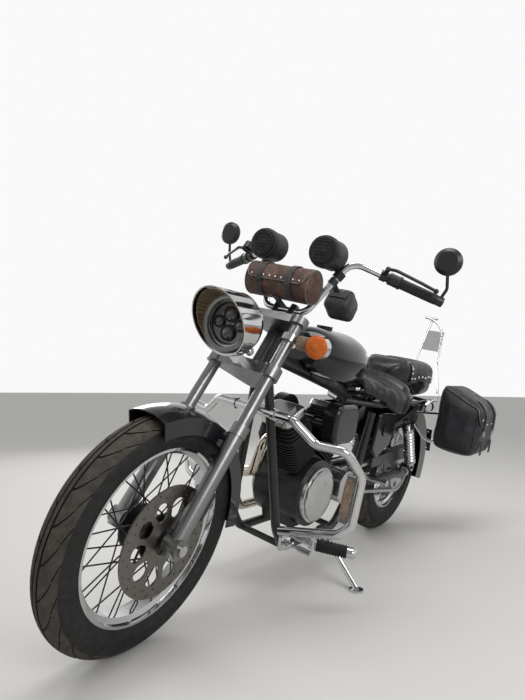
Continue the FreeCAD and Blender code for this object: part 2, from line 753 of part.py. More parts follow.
def bar_path():
    left = [
        (-s.bar_end_back, s.bar_end_side, s.bar_end_height),
        (4.0, s.bar_crest_side, s.bar_crest_height),
        (-s.bar_back, s.bar_foot_side, s.bar_height),
    ]
    return left + [(x, -y, z) for x, y, z in reversed(left)]


def on_bar(run, side=1):
    """A point on the handlebar's end stretch, this far in from its end, and the way outwards."""
    end, crest = Vector(*bar_path()[0]), Vector(*bar_path()[1])
    out = (end - crest).normalize()
    point = end - out * run
    if side < 0:
        point.y, out.y = -point.y, -out.y
    return point, out


def handlebar():
    return tube(bar_path(), [55.0, 40.0, 40.0, 55.0], s.bar_radius)


def grips():
    pieces = []
    for side in (-1, 1):
        start, out = on_bar(s.grip_length, side)
        grip = Part.makeCylinder(s.grip_radius, s.grip_length, start, out)
        ring = Part.makeCylinder(s.grip_radius + 4, 6.0, start, out)
        hole = Part.makeCylinder(s.bar_radius + s.shaft_gap, s.grip_length, start, out)
        pieces.append(grip.fuse(ring).cut(hole))
    return Part.Compound(pieces)


def hand_controls():
    """Switch box, lever perch and lever beside each grip; the brake's fluid cup on the right."""
    pieces = []
    for side in (-1, 1):
        start, out = on_bar(s.grip_length + s.seat_gap + 34, side)
        ahead = Vector(0.846, side * 0.533, 0).normalize()
        up = Vector(0, 0, 1)
        switch = Part.makeCylinder(19.0, 34.0, start, out)
        perch_at, out = on_bar(s.grip_length + 62, side)
        perch = Part.makeCylinder(17.0, 20.0, perch_at, out)
        perch_at = perch_at + out * 10
        link = rod(perch_at, start, 14.0)
        arm = rod(perch_at, perch_at + ahead * 44, 8.0)
        pivot = perch_at + ahead * 40
        blade = tube(
            [pivot - out * 6, pivot + out * 24 + ahead * 12, pivot + out * 110 + ahead * 6, pivot + out * 158],
            [30.0, 60.0],
            5.0,
        )
        ball = Part.makeSphere(8.0, pivot + out * 158)
        body = switch.fuse([link, perch, arm, blade, ball])
        if side < 0:
            cup = Part.makeCylinder(19.0, 26.0, perch_at + ahead * 28 + up * 4, up)
            body = body.fuse(cup)
        hole_from, out = on_bar(s.grip_length + 90, side)
        hole = Part.makeCylinder(s.bar_radius + s.shaft_gap, 120.0, hole_from, out)
        pieces.append(body.cut(hole))
    return Part.Compound(pieces)


def mirrors():
    """Round bar-end mirrors on bent arms."""
    pieces = []
    for side in (-1, 1):
        end, out = on_bar(0, side)
        clamp = Part.makeCylinder(s.grip_radius - 1, s.bar_end_length, end, out)
        root = end + out * (s.bar_end_length / 2)
        centre = Vector(-s.bar_end_back + 76, side * (s.bar_end_side + 19), s.bar_end_height + 88)
        back = Vector(-0.848, 0, 0.53)
        behind = centre - back * 9
        elbow = root + Vector(20, side * 16, 34)
        arm = tube([root, elbow, behind], [26.0], 5.0)
        glass = Part.makeCylinder(s.mirror_radius, 9.0, centre - back * 9, back)
        dome = Part.makeCone(s.mirror_radius, s.mirror_radius * 0.72, 9.0, centre - back * 9, back * -1)
        pieces.append(clamp.fuse([arm, glass, dome]))
    return Part.Compound(pieces)


LAMP = Placement(Vector(s.lamp_ahead, 0, s.lamp_height), Rotation(Vector(0, 1, 0), s.rake_angle))


def headlamp_hood():
    """A bullet bucket with a deep peaked rim, cut on a slant, about its own axis along X."""
    outside = [
        ("peak_top + 1", "0"),
        ("peak_top + 1", "hood_radius"),
        ("-0.3 * hood_depth", "hood_radius"),
        ("-0.52 * hood_depth", "hood_radius - 11"),
        ("-0.72 * hood_depth", "hood_radius - 31"),
        ("-0.89 * hood_depth", "hood_radius - 53"),
        ("-hood_depth", "hood_radius - 73"),
        ("-hood_depth", "0"),
    ]
    shell = revolved(section(outside, SIDE_VIEW), (1, 0, 0))
    mouth = cylinder("hood_radius - hood_wall", "peak_top + 20", x="-4", turn=ALONG_X)
    pocket = cylinder("glass_radius + 0.1", "40", x="-24", turn=ALONG_X)
    slant = [
        ("peak_bottom", "-hood_radius"),
        ("peak_bottom - 1", "-hood_radius - 1"),
        ("peak_top + 200", "-hood_radius - 1"),
        ("peak_top + 200", "hood_radius + 1"),
        ("peak_top", "hood_radius + 1"),
    ]
    front = extruded(section(slant, SIDE_VIEW), "hood_radius + 5")
    return cut(shell, mouth, pocket, front)


def lamp_bracket():
    """A lug from the lower clamp's front face into the bucket's underside."""
    low = s.lower_clamp_height + 4
    start = s.clamp_front - 6 + s.seat_gap
    return Part.makeBox(s.lamp_ahead - 78 - start, 30, 24, Vector(start, -15, low))


def headlamp_glass():
    """The glass, with a row of lens domes for the lamp units behind it."""
    glass = Part.makeCylinder(s.glass_radius, 18.0, Vector(-22, 0, 0), Vector(1, 0, 0))
    domes = []
    for y, z, radius in ((0, 24, 20), (0, -24, 20), (38, 0, 14), (-38, 0, 14)):
        domes.append(Part.makeSphere(radius, Vector(-4 - radius * 0.55, y, z)))
    ahead = Part.makeCylinder(s.glass_radius, 60.0, Vector(-20, 0, 0), Vector(1, 0, 0))
    return glass.fuse([dome.common(ahead) for dome in domes])


def speaker_pods():
    pieces = []
    for side in (-1, 1):
        centre = Vector(56, side * s.pod_side, 932)
        ahead = Vector(0.848, 0, -0.53)
        back = centre - ahead * (s.pod_length / 2)
        body = Part.makeCylinder(s.pod_radius, s.pod_length - 18, back + ahead * 9, ahead)
        front = Part.makeCone(s.pod_radius, s.pod_radius - 8, 9.0, back + ahead * (s.pod_length - 9), ahead)
        rear = Part.makeCone(s.pod_radius, s.pod_radius - 8, 9.0, back + ahead * 9, ahead * -1)
        foot, crest = Vector(*bar_path()[2]), Vector(*bar_path()[1])
        foot.y, crest.y = side * foot.y, side * crest.y
        rise = (crest - foot).normalize()
        held = foot + rise * 158
        clamp = Part.makeCylinder(s.bar_radius + 6, 24.0, held - rise * 12, rise)
        stub = rod(held, back + ahead * 12, 10.0)
        bore = rod(held - rise * 90, held + rise * 90, s.bar_radius + s.shaft_gap)
        pieces.append(body.fuse([front, rear, clamp, stub]).cut(bore))
    return Part.Compound(pieces)


def front_indicators():
    pieces = []
    for side in (-1, 1):
        up = Vector(0, 0, 1)
        ring_at = Vector(0, side * s.leg_side, s.indicator_height - 11)
        ring = Part.makeCylinder(s.tube_radius + 8, 22, ring_at, up)
        lamp_at = Vector(0, side * s.indicator_side, s.indicator_height)
        stem = rod((0, side * (s.leg_side + s.tube_radius), s.indicator_height), lamp_at, 6.0)
        ahead = Vector(0.848, 0, -0.53)
        bowl = Part.makeCylinder(s.indicator_radius, 26, lamp_at - ahead * 4, ahead)
        tail = Part.makeCone(s.indicator_radius, 12, 24, lamp_at - ahead * 4, ahead * -1)
        lens = Part.makeCone(s.indicator_radius - 2, s.indicator_radius - 12, 9, lamp_at + ahead * 22, ahead)
        body = ring.fuse([stem, bowl, tail, lens])
        bore = rod(ring_at - up * 5, ring_at + up * 30, s.tube_radius + s.shaft_gap)
        pieces.append(body.cut(bore))
    return Part.Compound(pieces)


def fender(inner_radius, half, skirt, start, sweep):
    """A crowned mudguard with deep sides, turned part of the way round its wheel."""
    wall = s.fender_wall
    crown = 16.0
    top = inner_radius + wall
    edge = top - crown
    low = edge - skirt
    points = [
        (edge, half),
        (top, 0, "arc"),
        (edge, -half),
        (low, -half),
        (low, wall - half),
        (edge - wall * 0.5, wall - half),
        (top - wall, 0, "arc"),
        (edge - wall * 0.5, half - wall),
        (low, half - wall),
        (low, half),
    ]
    corners = [(p[0], p[1], 0) + tuple(p[2:]) for p in points]
    face = Part.Face(outline(corners))
    face.rotate(Vector(0, 0, 0), Vector(0, 1, 0), -start)
    return face.revolve(Vector(0, 0, 0), Vector(0, 1, 0), -sweep)


def front_fender():
    """Its angles are from level ahead, so the fork's rake comes off them."""
    inner = s.front_wheel_radius + s.front_fender_gap
    sheet_metal = fender(inner, s.front_fender_half, s.front_fender_skirt, 75 - s.rake_angle, 112)
    stays = []
    for side in (-1, 1):
        for low in (238.0, 300.0):
            start = (0, side * (s.front_fender_half - 1), low)
            end = (0, side * (s.leg_side - s.slider_radius * 0.5), low)
            stays.append(rod(start, end, 8.0))
    legs = rod((0, s.leg_side, 0), (0, s.leg_side, 340), s.slider_radius + s.seat_gap)
    return sheet_metal.fuse(stays).cut([legs, mirrored(legs)])


def brake_caliper():
    """A caliper astride the disc's edge, on ears from the left leg."""
    block = Part.makeBox(58, 42, 84, Vector(-84, s.disc_side - 21, 84))
    block = block.makeFillet(9.0, block.Edges)
    ears = [Part.makeBox(60, 12, 16, Vector(-60, s.disc_side + 12, low)) for low in (96, 140)]
    body = block.fuse(ears)
    slot = Part.makeCylinder(
        s.disc_radius + 4, s.disc_width + 2, Vector(0, s.disc_side - s.disc_width / 2 - 1, 0), Vector(0, 1, 0)
    )
    leg = rod((0, s.leg_side, 0), (0, s.leg_side, 340), s.slider_radius + s.seat_gap)
    return body.cut([slot, leg])


part("fork_legs", fork_legs(), FORK)
part("front_axle", front_axle(), FORK)
part("fork_clamps", drawn(fork_clamps()), FORK)
part("handlebar", drawn(handlebar()), FORK)
part("grips", drawn(grips()), FORK)
part("hand_controls", drawn(hand_controls()), FORK)
part("mirrors", drawn(mirrors()), FORK)
lug = drawn(lamp_bracket())
lug.Placement = LAMP.inverse()
part("headlamp_hood", fuse(headlamp_hood(), lug), FORK * LAMP)
part("headlamp_glass", drawn(headlamp_glass()), FORK * LAMP)
part("speaker_pods", drawn(speaker_pods()), FORK)
part("front_indicators", drawn(front_indicators()), FORK)
part("front_fender", drawn(front_fender()), FORK)
part("brake_caliper", drawn(brake_caliper()), FORK)


def tool_roll():
    """A leather roll along Y with rounded ends, on a strap round the handlebar's middle."""
    middle = Vector(s.roll_ahead, 0, s.roll_up)
    across = Vector(0, 1, 0)
    roll = Part.makeCylinder(s.roll_height / 2, s.roll_length, middle - across * (s.roll_length / 2), across)
    roll = roll.makeFillet(18.0, roll.Edges)
    bar = Vector(-s.bar_back, 0, s.bar_height)
    loop = Part.makeCylinder(s.bar_radius + 3.5, 24, bar - across * 12, across)
    strap = Part.makeBox((middle - bar).Length - 20, 24, 5, Vector(0, -12, -2.5))
    strap.Placement = Placement(bar, Rotation(Vector(1, 0, 0), middle - bar))
    bore = Part.makeCylinder(s.bar_radius + s.shaft_gap, 40, bar - across * 20, across)
    return joined(roll, strap, loop).cut(bore)


def bar_pouch():
    """A soft square pouch on a strap round the handlebar's left riser."""
    length, width, height = 100.0, 96.0, 80.0
    middle = Vector(-s.pouch_back, s.pouch_side, s.pouch_up)
    pouch = Part.makeBox(length, width, height, middle - Vector(length / 2, width / 2, height / 2))
    pouch = pouch.makeFillet(16.0, pouch.Edges)
    foot, crest = Vector(*bar_path()[2]), Vector(*bar_path()[1])
    rise = (crest - foot).normalize()
    held = foot + rise * ((s.pouch_up - foot.z) / rise.z)
    loop = Part.makeCylinder(s.bar_radius + 3.5, 22, held - rise * 11, rise)
    strap = Part.makeBox(held.x - middle.x, 20, 5, Vector(middle.x, held.y - 10, held.z - 2.5))
    bore = Part.makeCylinder(s.bar_radius + s.shaft_gap, 60, held - rise * 30, rise)
    return joined(pouch, strap, loop).cut(bore)


part("tool_roll", drawn(tool_roll()), FORK)
part("bar_pouch", drawn(bar_pouch()), FORK)


# Chassis, in the bike frame

UP = Vector(0, 0, 1)
LEFT = Vector(0, 1, 0)


def head_axis_point(height):
    return fork_point(-s.fork_offset, 0, height)


def cradle_path():
    """The left cradle: from the steering head down, back under the engine and up to the seat."""
    top = fork_point(-s.fork_offset - 8, 14, s.lower_clamp_height + s.lower_clamp_thick + 56)
    return [
        (top.x, 14, top.z),
        (s.cradle_front, s.cradle_side, 250),
        (s.cradle_front - 62, s.cradle_side, s.cradle_low),
        (s.pivot_ahead + 76, s.cradle_side, s.cradle_low),
        (s.pivot_ahead, s.pivot_side, s.pivot_height),
        (s.pivot_ahead - 60, s.pivot_side, s.rail_height - 30),
    ]


def rail_path():
    return [
        (560, 16, s.rail_height),
        (470, s.rail_side, s.rail_height),
        (60, s.rail_side, s.rail_height),
        (-s.rail_back, s.rail_side, s.rail_height + 6),
    ]


def strut_path():
    """The lower subframe tube, which carries the shock's top."""
    return [
        (s.pivot_ahead - 36, s.pivot_side, 470),
        (s.shock_top_ahead, s.rail_side, s.shock_top_height),
        (-40, s.rail_side, s.rail_height),
    ]


def spine_path():
    """The backbone: from the middle of the steering head back and down under the seat."""
    head = head_axis_point(0.5 * (s.upper_clamp_height + s.lower_clamp_height + s.lower_clamp_thick))
    return [head, (s.tank_rear + 58, 0, s.tank_bottom - 55), (455, 0, s.rail_height - 40)]


def spine_height(ahead):
    """The backbone's middle under the tank."""
    head, low, end = (Vector(*p) for p in spine_path())
    return low.z + (head.z - low.z) * (ahead - low.x) / (head.x - low.x)


def frame():
    low = head_axis_point(s.lower_clamp_height + s.lower_clamp_thick + s.head_clear)
    high = head_axis_point(s.upper_clamp_height - s.head_clear)
    head = rod(low, high, s.head_radius)
    spine = tube(spine_path(), [300], s.spine_tube)
    pin_ahead = s.tank_rear + 330
    tank_saddle = joined(
        Part.makeBox(36, 44, 30, Vector(s.tank_rear + 175, -22, s.tank_bottom - 33.5)),
        cross_rod(pin_ahead, s.spine_tube + 3.8, spine_height(pin_ahead), 8),
    )
    sides = [
        tube(cradle_path(), [90, 60, 60, 60], s.frame_tube),
        tube(rail_path(), [60, 300], s.rail_tube),
        tube(strut_path(), [200], s.rail_tube),
        rod(
            (s.shock_top_ahead, s.rail_side, s.shock_top_height),
            (s.shock_top_ahead, s.shock_side + 15, s.shock_top_height),
            s.shock_pin,
        ),
    ]
    plate = Part.Face(outline([
        (s.pivot_ahead + 44, 0, s.pivot_height - 78),
        (s.pivot_ahead + 24, 0, s.pivot_height + 86),
        (s.pivot_ahead - 34, 0, s.pivot_height + 60),
        (s.pivot_ahead - 30, 0, s.pivot_height - 62),
    ]))
    plate = plate.extrude(LEFT * 8)
    plate.translate(LEFT * (s.pivot_side - 4))
    left = joined(*sides, plate)
    right = mirrored(left)
    cross = [
        cross_rod(s.pivot_ahead + 90, s.cradle_side, s.cradle_low, 11),
        cross_rod(s.cradle_front - 70, s.cradle_side, s.cradle_low, 11),
        cross_rod(430, s.rail_side, s.rail_height, s.rail_tube - 2),
        cross_rod(-s.rail_back + 12, s.rail_side, s.rail_height + 6, 8),
    ]
    body = joined(head, spine, tank_saddle, left, right, *cross)
    stem_bore = rod(low - (high - low), high + (high - low), s.stem_radius + s.shaft_gap)
    pivot_bore = cross_rod(s.pivot_ahead, 150, s.pivot_height, s.pivot_bolt)
    return joined(body.cut(stem_bore).cut(pivot_bore), guard_mount(), stand_bracket())


def crankcase():
    """Round crankcase, gearbox behind it, sump below and two flats that the barrels stand on."""
    crank = cylinder("case_radius", "2 * case_half", x="crank_ahead", y="-case_half", z="crank_height", turn=ALONG_Y)
    gearbox = cylinder(
        "gearbox_radius", "2 * gearbox_half", x="gearbox_ahead", y="-gearbox_half", z="gearbox_height", turn=ALONG_Y
    )
    bridge = extruded(section([
        ("gearbox_ahead", "gearbox_height - gearbox_radius + 2"),
        ("crank_ahead", "crank_height - case_radius - 6"),
        ("crank_ahead + 70", "crank_height - case_radius - 6"),
        ("crank_ahead + 96", "crank_height - 60"),
        ("crank_ahead", "crank_height + case_radius - 6"),
        ("crank_ahead - 100", "crank_height + 62"),
        ("gearbox_ahead", "gearbox_height + gearbox_radius - 2"),
    ], SIDE_VIEW), "gearbox_half")
    doc.recompute()
    decks = []
    for way in (1, -1):
        along = bank_way(way)
        crank_at = Vector(s.crank_ahead, 0, s.crank_height)
        decks.append(Part.makeCylinder(62.0, s.barrel_start, crank_at, along))
    return fuse(crank, gearbox, bridge, drawn(decks[0].fuse(decks[1]), "Decks"))


def bank_way(way):
    angle = math.radians(s.bank_angle)
    return Vector(way * math.sin(angle), 0, math.cos(angle))


def finned_cylinder(way):
    """A barrel and its head with a stack of cooling fins, on the crankcase flat."""
    total = s.barrel_length + s.head_length
    barrel = Part.makeCylinder(s.barrel_radius, total, Vector(0, 0, 0))
    count = int(s.fin_count)
    pitch = s.barrel_length / count
    fins = []
    for n in range(count):
        fins.append((s.fin_long, s.fin_wide, pitch * (n + 0.55)))
    head_fins = max(2, int(s.head_length / pitch))
    for n in range(head_fins):
        narrow = 1 - 0.05 * n
        up = s.barrel_length + s.head_length / head_fins * (n + 0.2)
        fins.append((s.fin_long * narrow, s.fin_wide * narrow, up))
    pieces = []
    for long, wide, low in fins:
        fin = Part.makeBox(long, wide, s.fin_thick, Vector(-long / 2, -wide / 2, low))
        fin = fin.makeFillet(s.fin_round, [e for e in fin.Edges if abs(e.tangentAt(e.FirstParameter).z) > 0.9])
        pieces.append(fin)
    core = Part.makeBox(96, 104, s.head_length, Vector(-48, -52, s.barrel_length))
    body = barrel.fuse(pieces + [core])
    foot = bank_way(way) * s.barrel_start + Vector(s.crank_ahead, 0, s.crank_height)
    body.Placement = Placement(foot, Rotation(Vector(0, 1, 0), way * s.bank_angle))
    return body


def rocker_cover(way):
    """The polished cover on a head."""
    low = s.barrel_length + s.head_length
    cover = Part.makeBox(112, 124, 26, Vector(-56, -62, low))
    cover = cover.makeFillet(20.0, [e for e in cover.Edges if abs(e.tangentAt(e.FirstParameter).z) > 0.9])
    cover = cover.makeFillet(8.0, [e for e in cover.Edges if min(v.Z for v in e.Vertexes) > low + 25.9])
    ridge = Part.makeBox(60, 80, 10, Vector(-30, -40, low + 26))
    cover = cover.fuse(ridge.makeFillet(6.0, [e for e in ridge.Edges if abs(e.tangentAt(e.FirstParameter).z) > 0.9]))
    foot = bank_way(way) * s.barrel_start + Vector(s.crank_ahead, 0, s.crank_height)
    cover.Placement = Placement(foot, Rotation(Vector(0, 1, 0), way * s.bank_angle))
    return cover


def round_cover(side, ahead, up, radius, depth, inner):
    """A stepped round cover turned about an axis along Y, domed towards the outside."""
    corners = [
        (0, inner, 0),
        (radius, inner, 0),
        (radius, inner + depth * 0.55, 0),
        (radius - 8, inner + depth * 0.62, 0),
        (radius - 8, inner + depth * 0.80, 0),
        (radius * 0.74, inner + depth * 0.94, 0, "arc"),
        (radius * 0.5, inner + depth, 0),
        (0, inner + depth, 0),
    ]
    cover = Part.Face(outline(corners)).revolve(Vector(0, 0, 0), LEFT, 360)
    if side < 0:
        cover = mirrored(cover)
    cover.translate(Vector(ahead, 0, up))
    return cover


def engine_covers():
    """Generator cover on the left, clutch cover on the right, and the sprocket cover behind it."""
    left = round_cover(1, s.crank_ahead + 8, s.crank_height, s.cover_radius, s.cover_depth, s.case_half)
    right = round_cover(-1, s.crank_ahead - 6, s.crank_height, s.cover_radius + 6, s.cover_depth, s.case_half)
    rear = Part.makeCylinder(
        s.front_sprocket + 26, s.cover_depth + s.case_half - s.gearbox_half,
        Vector(s.gearbox_ahead, s.gearbox_half, s.gearbox_height), LEFT,
    )
    inside = Part.makeCylinder(
        s.front_sprocket + 18, s.sprocket_side + 12 - s.gearbox_half,
        Vector(s.gearbox_ahead, s.gearbox_half, s.gearbox_height), LEFT,
    )
    away = Part.makeBox(
        200, s.sprocket_side + 12 - s.gearbox_half, 2 * s.front_sprocket + 36,
        Vector(s.gearbox_ahead - 200, s.gearbox_half, s.gearbox_height - s.front_sprocket - 18),
    )
    case = Part.makeCylinder(
        s.case_radius + 0.3, 300, Vector(s.crank_ahead, -150, s.crank_height), LEFT
    )
    rear = rear.cut([inside, away, case])
    return Part.Compound([left, right, rear])


def intake():
    """Carburettor and manifold in the V, a round air cleaner on the right, a smooth cover on the left."""
    middle = Vector(s.crank_ahead, 0, 566)
    body = Part.makeCylinder(27.0, 118, middle + LEFT * -84, LEFT)
    bowl = Part.makeCylinder(24.0, 44, middle - UP * 52 + LEFT * -20, UP)
    cleaner = Part.makeCylinder(76.0, 46, Vector(s.crank_ahead - 10, -84 - 46, 570), LEFT)
    cleaner = cleaner.makeFillet(9.0, [e for e in cleaner.Edges if e.BoundBox.YMax < -129])
    cover = Part.makeBox(170, 57, 142, Vector(s.crank_ahead - 147, s.fin_wide / 2 + 8, 512))
    cover = cover.makeFillet(44.0, [e for e in cover.Edges if abs(e.tangentAt(e.FirstParameter).y) > 0.9])
    cover = cover.makeFillet(16.0, [e for e in cover.Edges if e.BoundBox.YMin > s.fin_wide / 2 + 64.9])
    stalk = rod(middle + LEFT * 30, middle + LEFT * (s.fin_wide / 2 + 12), 20.0)
    return body.fuse([bowl, cleaner, cover, stalk])


def exhaust_pipes():
    """The two header pipes, from the heads to the silencers on the right."""
    along = bank_way(1)
    across = Vector(math.cos(math.radians(s.bank_angle)), 0, -math.sin(math.radians(s.bank_angle)))
    crank_at = Vector(s.crank_ahead, 0, s.crank_height)
    front_port = crank_at + along * (s.barrel_start + s.barrel_length + 26) + across * (s.fin_long / 2 + 0.3)
    front = [
        front_port,
        front_port + across * 42,
        (front_port.x - 8, -52, 392),
        (s.crank_ahead + 158, -176, 340),
        (s.crank_ahead + 60, -184, s.silencer_low),
        (s.silencer_front, -s.silencer_side, s.silencer_low),
    ]
    back_way = Vector(-across.x, 0, across.z)
    rear_port = crank_at + bank_way(-1) * (s.barrel_start + s.barrel_length + 26)
    rear_port = rear_port + back_way * (s.fin_long / 2 + 0.3)
    rear = [
        rear_port,
        rear_port + back_way * 34,
        (rear_port.x - 20, -120, 446),
        (rear_port.x - 30, -s.silencer_side, 360),
        (s.silencer_front + 60, -s.silencer_side, s.silencer_low + s.silencer_step),
        (s.silencer_front, -s.silencer_side, s.silencer_low + s.silencer_step),
    ]
    return Part.Compound([
        tube(front, [26, 60, 60, 60], s.header_radius),
        tube(rear, [24, 40, 40, 26], s.header_radius),
    ])


def silencers():
    """Two long silencers, one above the other, with slanted open ends."""
    pieces = []
    for row, length in ((0, s.silencer_length), (1, s.silencer_length - 70)):
        start = Vector(s.silencer_front - s.seat_gap, -s.silencer_side, s.silencer_low + row * s.silencer_step)
        back = Vector(-1, 0, 0)
        entry = Part.makeCone(s.header_radius + 3, s.silencer_radius, 90, start, back)
        barrel = Part.makeCylinder(s.silencer_radius, length - 90, start + back * 90, back)
        hollow = Part.makeCylinder(s.silencer_radius - 9, 80, start + back * (length - 80), back)
        slant = Part.makeBox(160, 200, 300, Vector(-160, -100, -150))
        slant.rotate(Vector(0, 0, 0), LEFT, 28)
        slant.translate(start + back * (length - 24))
        pieces.append(entry.fuse(barrel).cut([hollow, slant]))
    link = Part.makeBox(30, 14, s.silencer_step, Vector(120, -s.silencer_side - 7, s.silencer_low))
    body = pieces[0].fuse([pieces[1], link])
    return body


def saddle_wire(x, half, low, high):
    """A lengthwise station: flat below, rounded sides, crowned above."""
    waist = low + 0.36 * (high - low)
    shoulder = low + 0.80 * (high - low)
    corners = [
        (x, -0.82 * half, low),
        (x, 0.82 * half, low),
        (x, half, waist, "arc"),
        (x, 0.74 * half, shoulder),
        (x, 0, high, "arc"),
        (x, -0.74 * half, shoulder),
        (x, -half, waist, "arc"),
    ]
    return outline(corners)


def fuel_tank():
    """A teardrop over the backbone, tunnelled to pass it."""
    rear, front = s.tank_rear, s.tank_rear + s.tank_length
    low, high, half = s.tank_bottom, s.tank_top, s.tank_half
    stations = [
        # ahead, half width, bottom, top
        (rear, 0.34 * half, low + 24, high - 96),
        (rear + 0.14 * s.tank_length, 0.72 * half, low + 8, high - 32),
        (rear + 0.42 * s.tank_length, half, low, high - 4),
        (rear + 0.74 * s.tank_length, 0.98 * half, low, high),
        (front - 0.02 * s.tank_length, 0.62 * half, low + 34, high - 22),
        (front, 0.5 * half, low + 44, high - 36),
    ]
    body = Part.makeLoft([saddle_wire(*station) for station in stations], True, False)
    spine = tube(spine_path(), [300], s.spine_tube + 6)
    below = spine.copy()
    below.translate(Vector(0, 0, -40))
    lower = spine.copy()
    lower.translate(Vector(0, 0, -20))
    return body.cut([spine, lower, below])


def tank_cap():
    return Part.makeCylinder(30.0, 12.0, Vector(s.tank_rear + 0.66 * s.tank_length, 0, s.tank_top - 3), UP)


def rider_seat():
    """A dished seat with sides that hang past the rails and a raised roll at its back."""
    base = s.rail_height + s.rail_tube + s.seat_gap
    low, high, half = s.rail_height - s.seat_skirt, s.rail_height + s.seat_rise, s.seat_half
    under = s.rail_height + s.pillion_rise
    stations = [
        (s.seat_rear, 0.78 * half, low, under - 8),
        (s.pillion_front, 0.97 * half, low, under - s.seat_gap),
        (s.pillion_front + 76, half, low, high - 24),
        (s.pillion_front + 170, 0.74 * half, low + 20, high - 12),
        (s.seat_front, 0.36 * half, base + 14, high),
    ]
    body = Part.makeLoft([saddle_wire(*station) for station in stations], True, False)
    side = s.rail_side + s.rail_tube + 2
    rails = Part.makeBox(500, 2 * side, 200, Vector(s.seat_rear - 20, -side, base - 200))
    lip = s.pillion_front + 24
    roll = tube([
        (lip, -112, under - 24),
        (lip, -62, high - 18),
        (lip, 62, high - 18),
        (lip, 112, under - 24),
    ], [60, 60], 21)
    return body.cut(rails).fuse(roll)


def pillion_seat():
    base = "rail_height + rail_tube + seat_gap + 8"
    under = "rail_height + pillion_rise"
    top = under + " + pillion_thick"
    side = section([
        ("pillion_rear", base),
        ("seat_rear - 1", base),
        ("seat_rear - 1", under),
        ("pillion_front", under),
        ("pillion_front", f"{top} - 44"),
        ("pillion_front - 60", top),
        ("pillion_rear + 40", top),
        ("pillion_rear", f"{top} - 40"),
    ], SIDE_VIEW)
    high = s.rail_height + s.pillion_rise + s.pillion_thick
    return rounded(
        extruded(side, "pillion_half"), 18.0, lambda e: e.BoundBox.ZMin > high - 46 and e.BoundBox.YLength < 1
    )


def rear_fender():
    inner = s.rear_wheel_radius + s.rear_fender_gap
    sheet_metal = fender(inner, s.rear_fender_half, s.rear_fender_skirt, 30, 165)
    sheet_metal.translate(Vector(0, 0, s.rear_wheel_radius))
    tabs = []
    low = s.rear_wheel_radius + inner - 50
    inside = s.rear_fender_half - 1
    reach = s.rail_side - s.rail_tube - s.seat_gap - inside
    for ahead in (40, -110):
        tab = Part.makeBox(24, reach, s.rail_height + 6 - low, Vector(ahead, inside, low))
        tabs += [tab, mirrored(tab)]
    return sheet_metal.fuse(tabs)


def side_covers():
    """Left and right panels below the seat, each with a plain round boss."""
    corners = [
        (s.pivot_ahead - 78, 0, s.rail_height - 30),
        (s.pivot_ahead - 56, 0, 470),
        (s.pivot_ahead - 106, 0, 424),
        (s.pivot_ahead - 224, 0, 478),
        (s.pivot_ahead - 262, 0, s.rail_height - 34),
    ]
    inner = s.rail_side + s.rail_tube + s.seat_gap
    panel = Part.Face(outline(corners)).extrude(LEFT * 12)
    panel = panel.makeFillet(16.0, [e for e in panel.Edges if abs(e.tangentAt(e.FirstParameter).y) > 0.9])
    panel = panel.makeFillet(6.0, [e for e in panel.Edges if e.BoundBox.YMin > 11.9])
    boss = Part.makeCylinder(30.0, 6.0, Vector(s.pivot_ahead - 150, 11, 545), LEFT)
    panel = panel.fuse(boss)
    panel.translate(LEFT * inner)
    return Part.Compound([panel, mirrored(panel)])


def swingarm():
    """Forked arm on its pivot tube, with axle plates and shock lugs."""
    near = s.pivot_side - s.frame_tube - s.arm_tube - 6
    arm = tube([
        (s.pivot_ahead, near, s.pivot_height),
        (s.pivot_ahead - 60, near, s.pivot_height - 2),
        (s.pivot_ahead - 180, s.arm_side, s.pivot_height - 4),
        (30, s.arm_side, s.rear_wheel_radius),
    ], [200, 200], s.arm_tube)
    plate = Part.makeBox(110, 10, 44, Vector(-46, s.arm_side - 5, s.rear_wheel_radius - 22))
    web = Part.Face(outline([
        (-10, s.arm_side - 5, s.rear_wheel_radius),
        (70, s.arm_side - 5, s.rear_wheel_radius + 4),
        (s.shock_foot_ahead + 14, s.arm_side - 5, s.shock_foot_height + 12),
        (s.shock_foot_ahead - 12, s.arm_side - 5, s.shock_foot_height + 12),
    ])).extrude(LEFT * 10)
    lug = rod(
        (s.shock_foot_ahead, s.arm_side, s.shock_foot_height),
        (s.shock_foot_ahead, s.shock_side + 15, s.shock_foot_height),
        s.shock_pin,
    )
    left = arm.fuse([plate, web, lug])
    inner = s.pivot_side - s.frame_tube - 2.5
    pivot = cross_rod(s.pivot_ahead, inner, s.pivot_height, s.pivot_tube)
    body = pivot.fuse([left, mirrored(left)])
    bolt = rod((s.pivot_ahead, -150, s.pivot_height), (s.pivot_ahead, 150, s.pivot_height), s.pivot_bolt)
    axle = cross_rod(0, 150, s.rear_wheel_radius, s.rear_axle_radius + s.shaft_gap)
    return body.cut([bolt, axle])


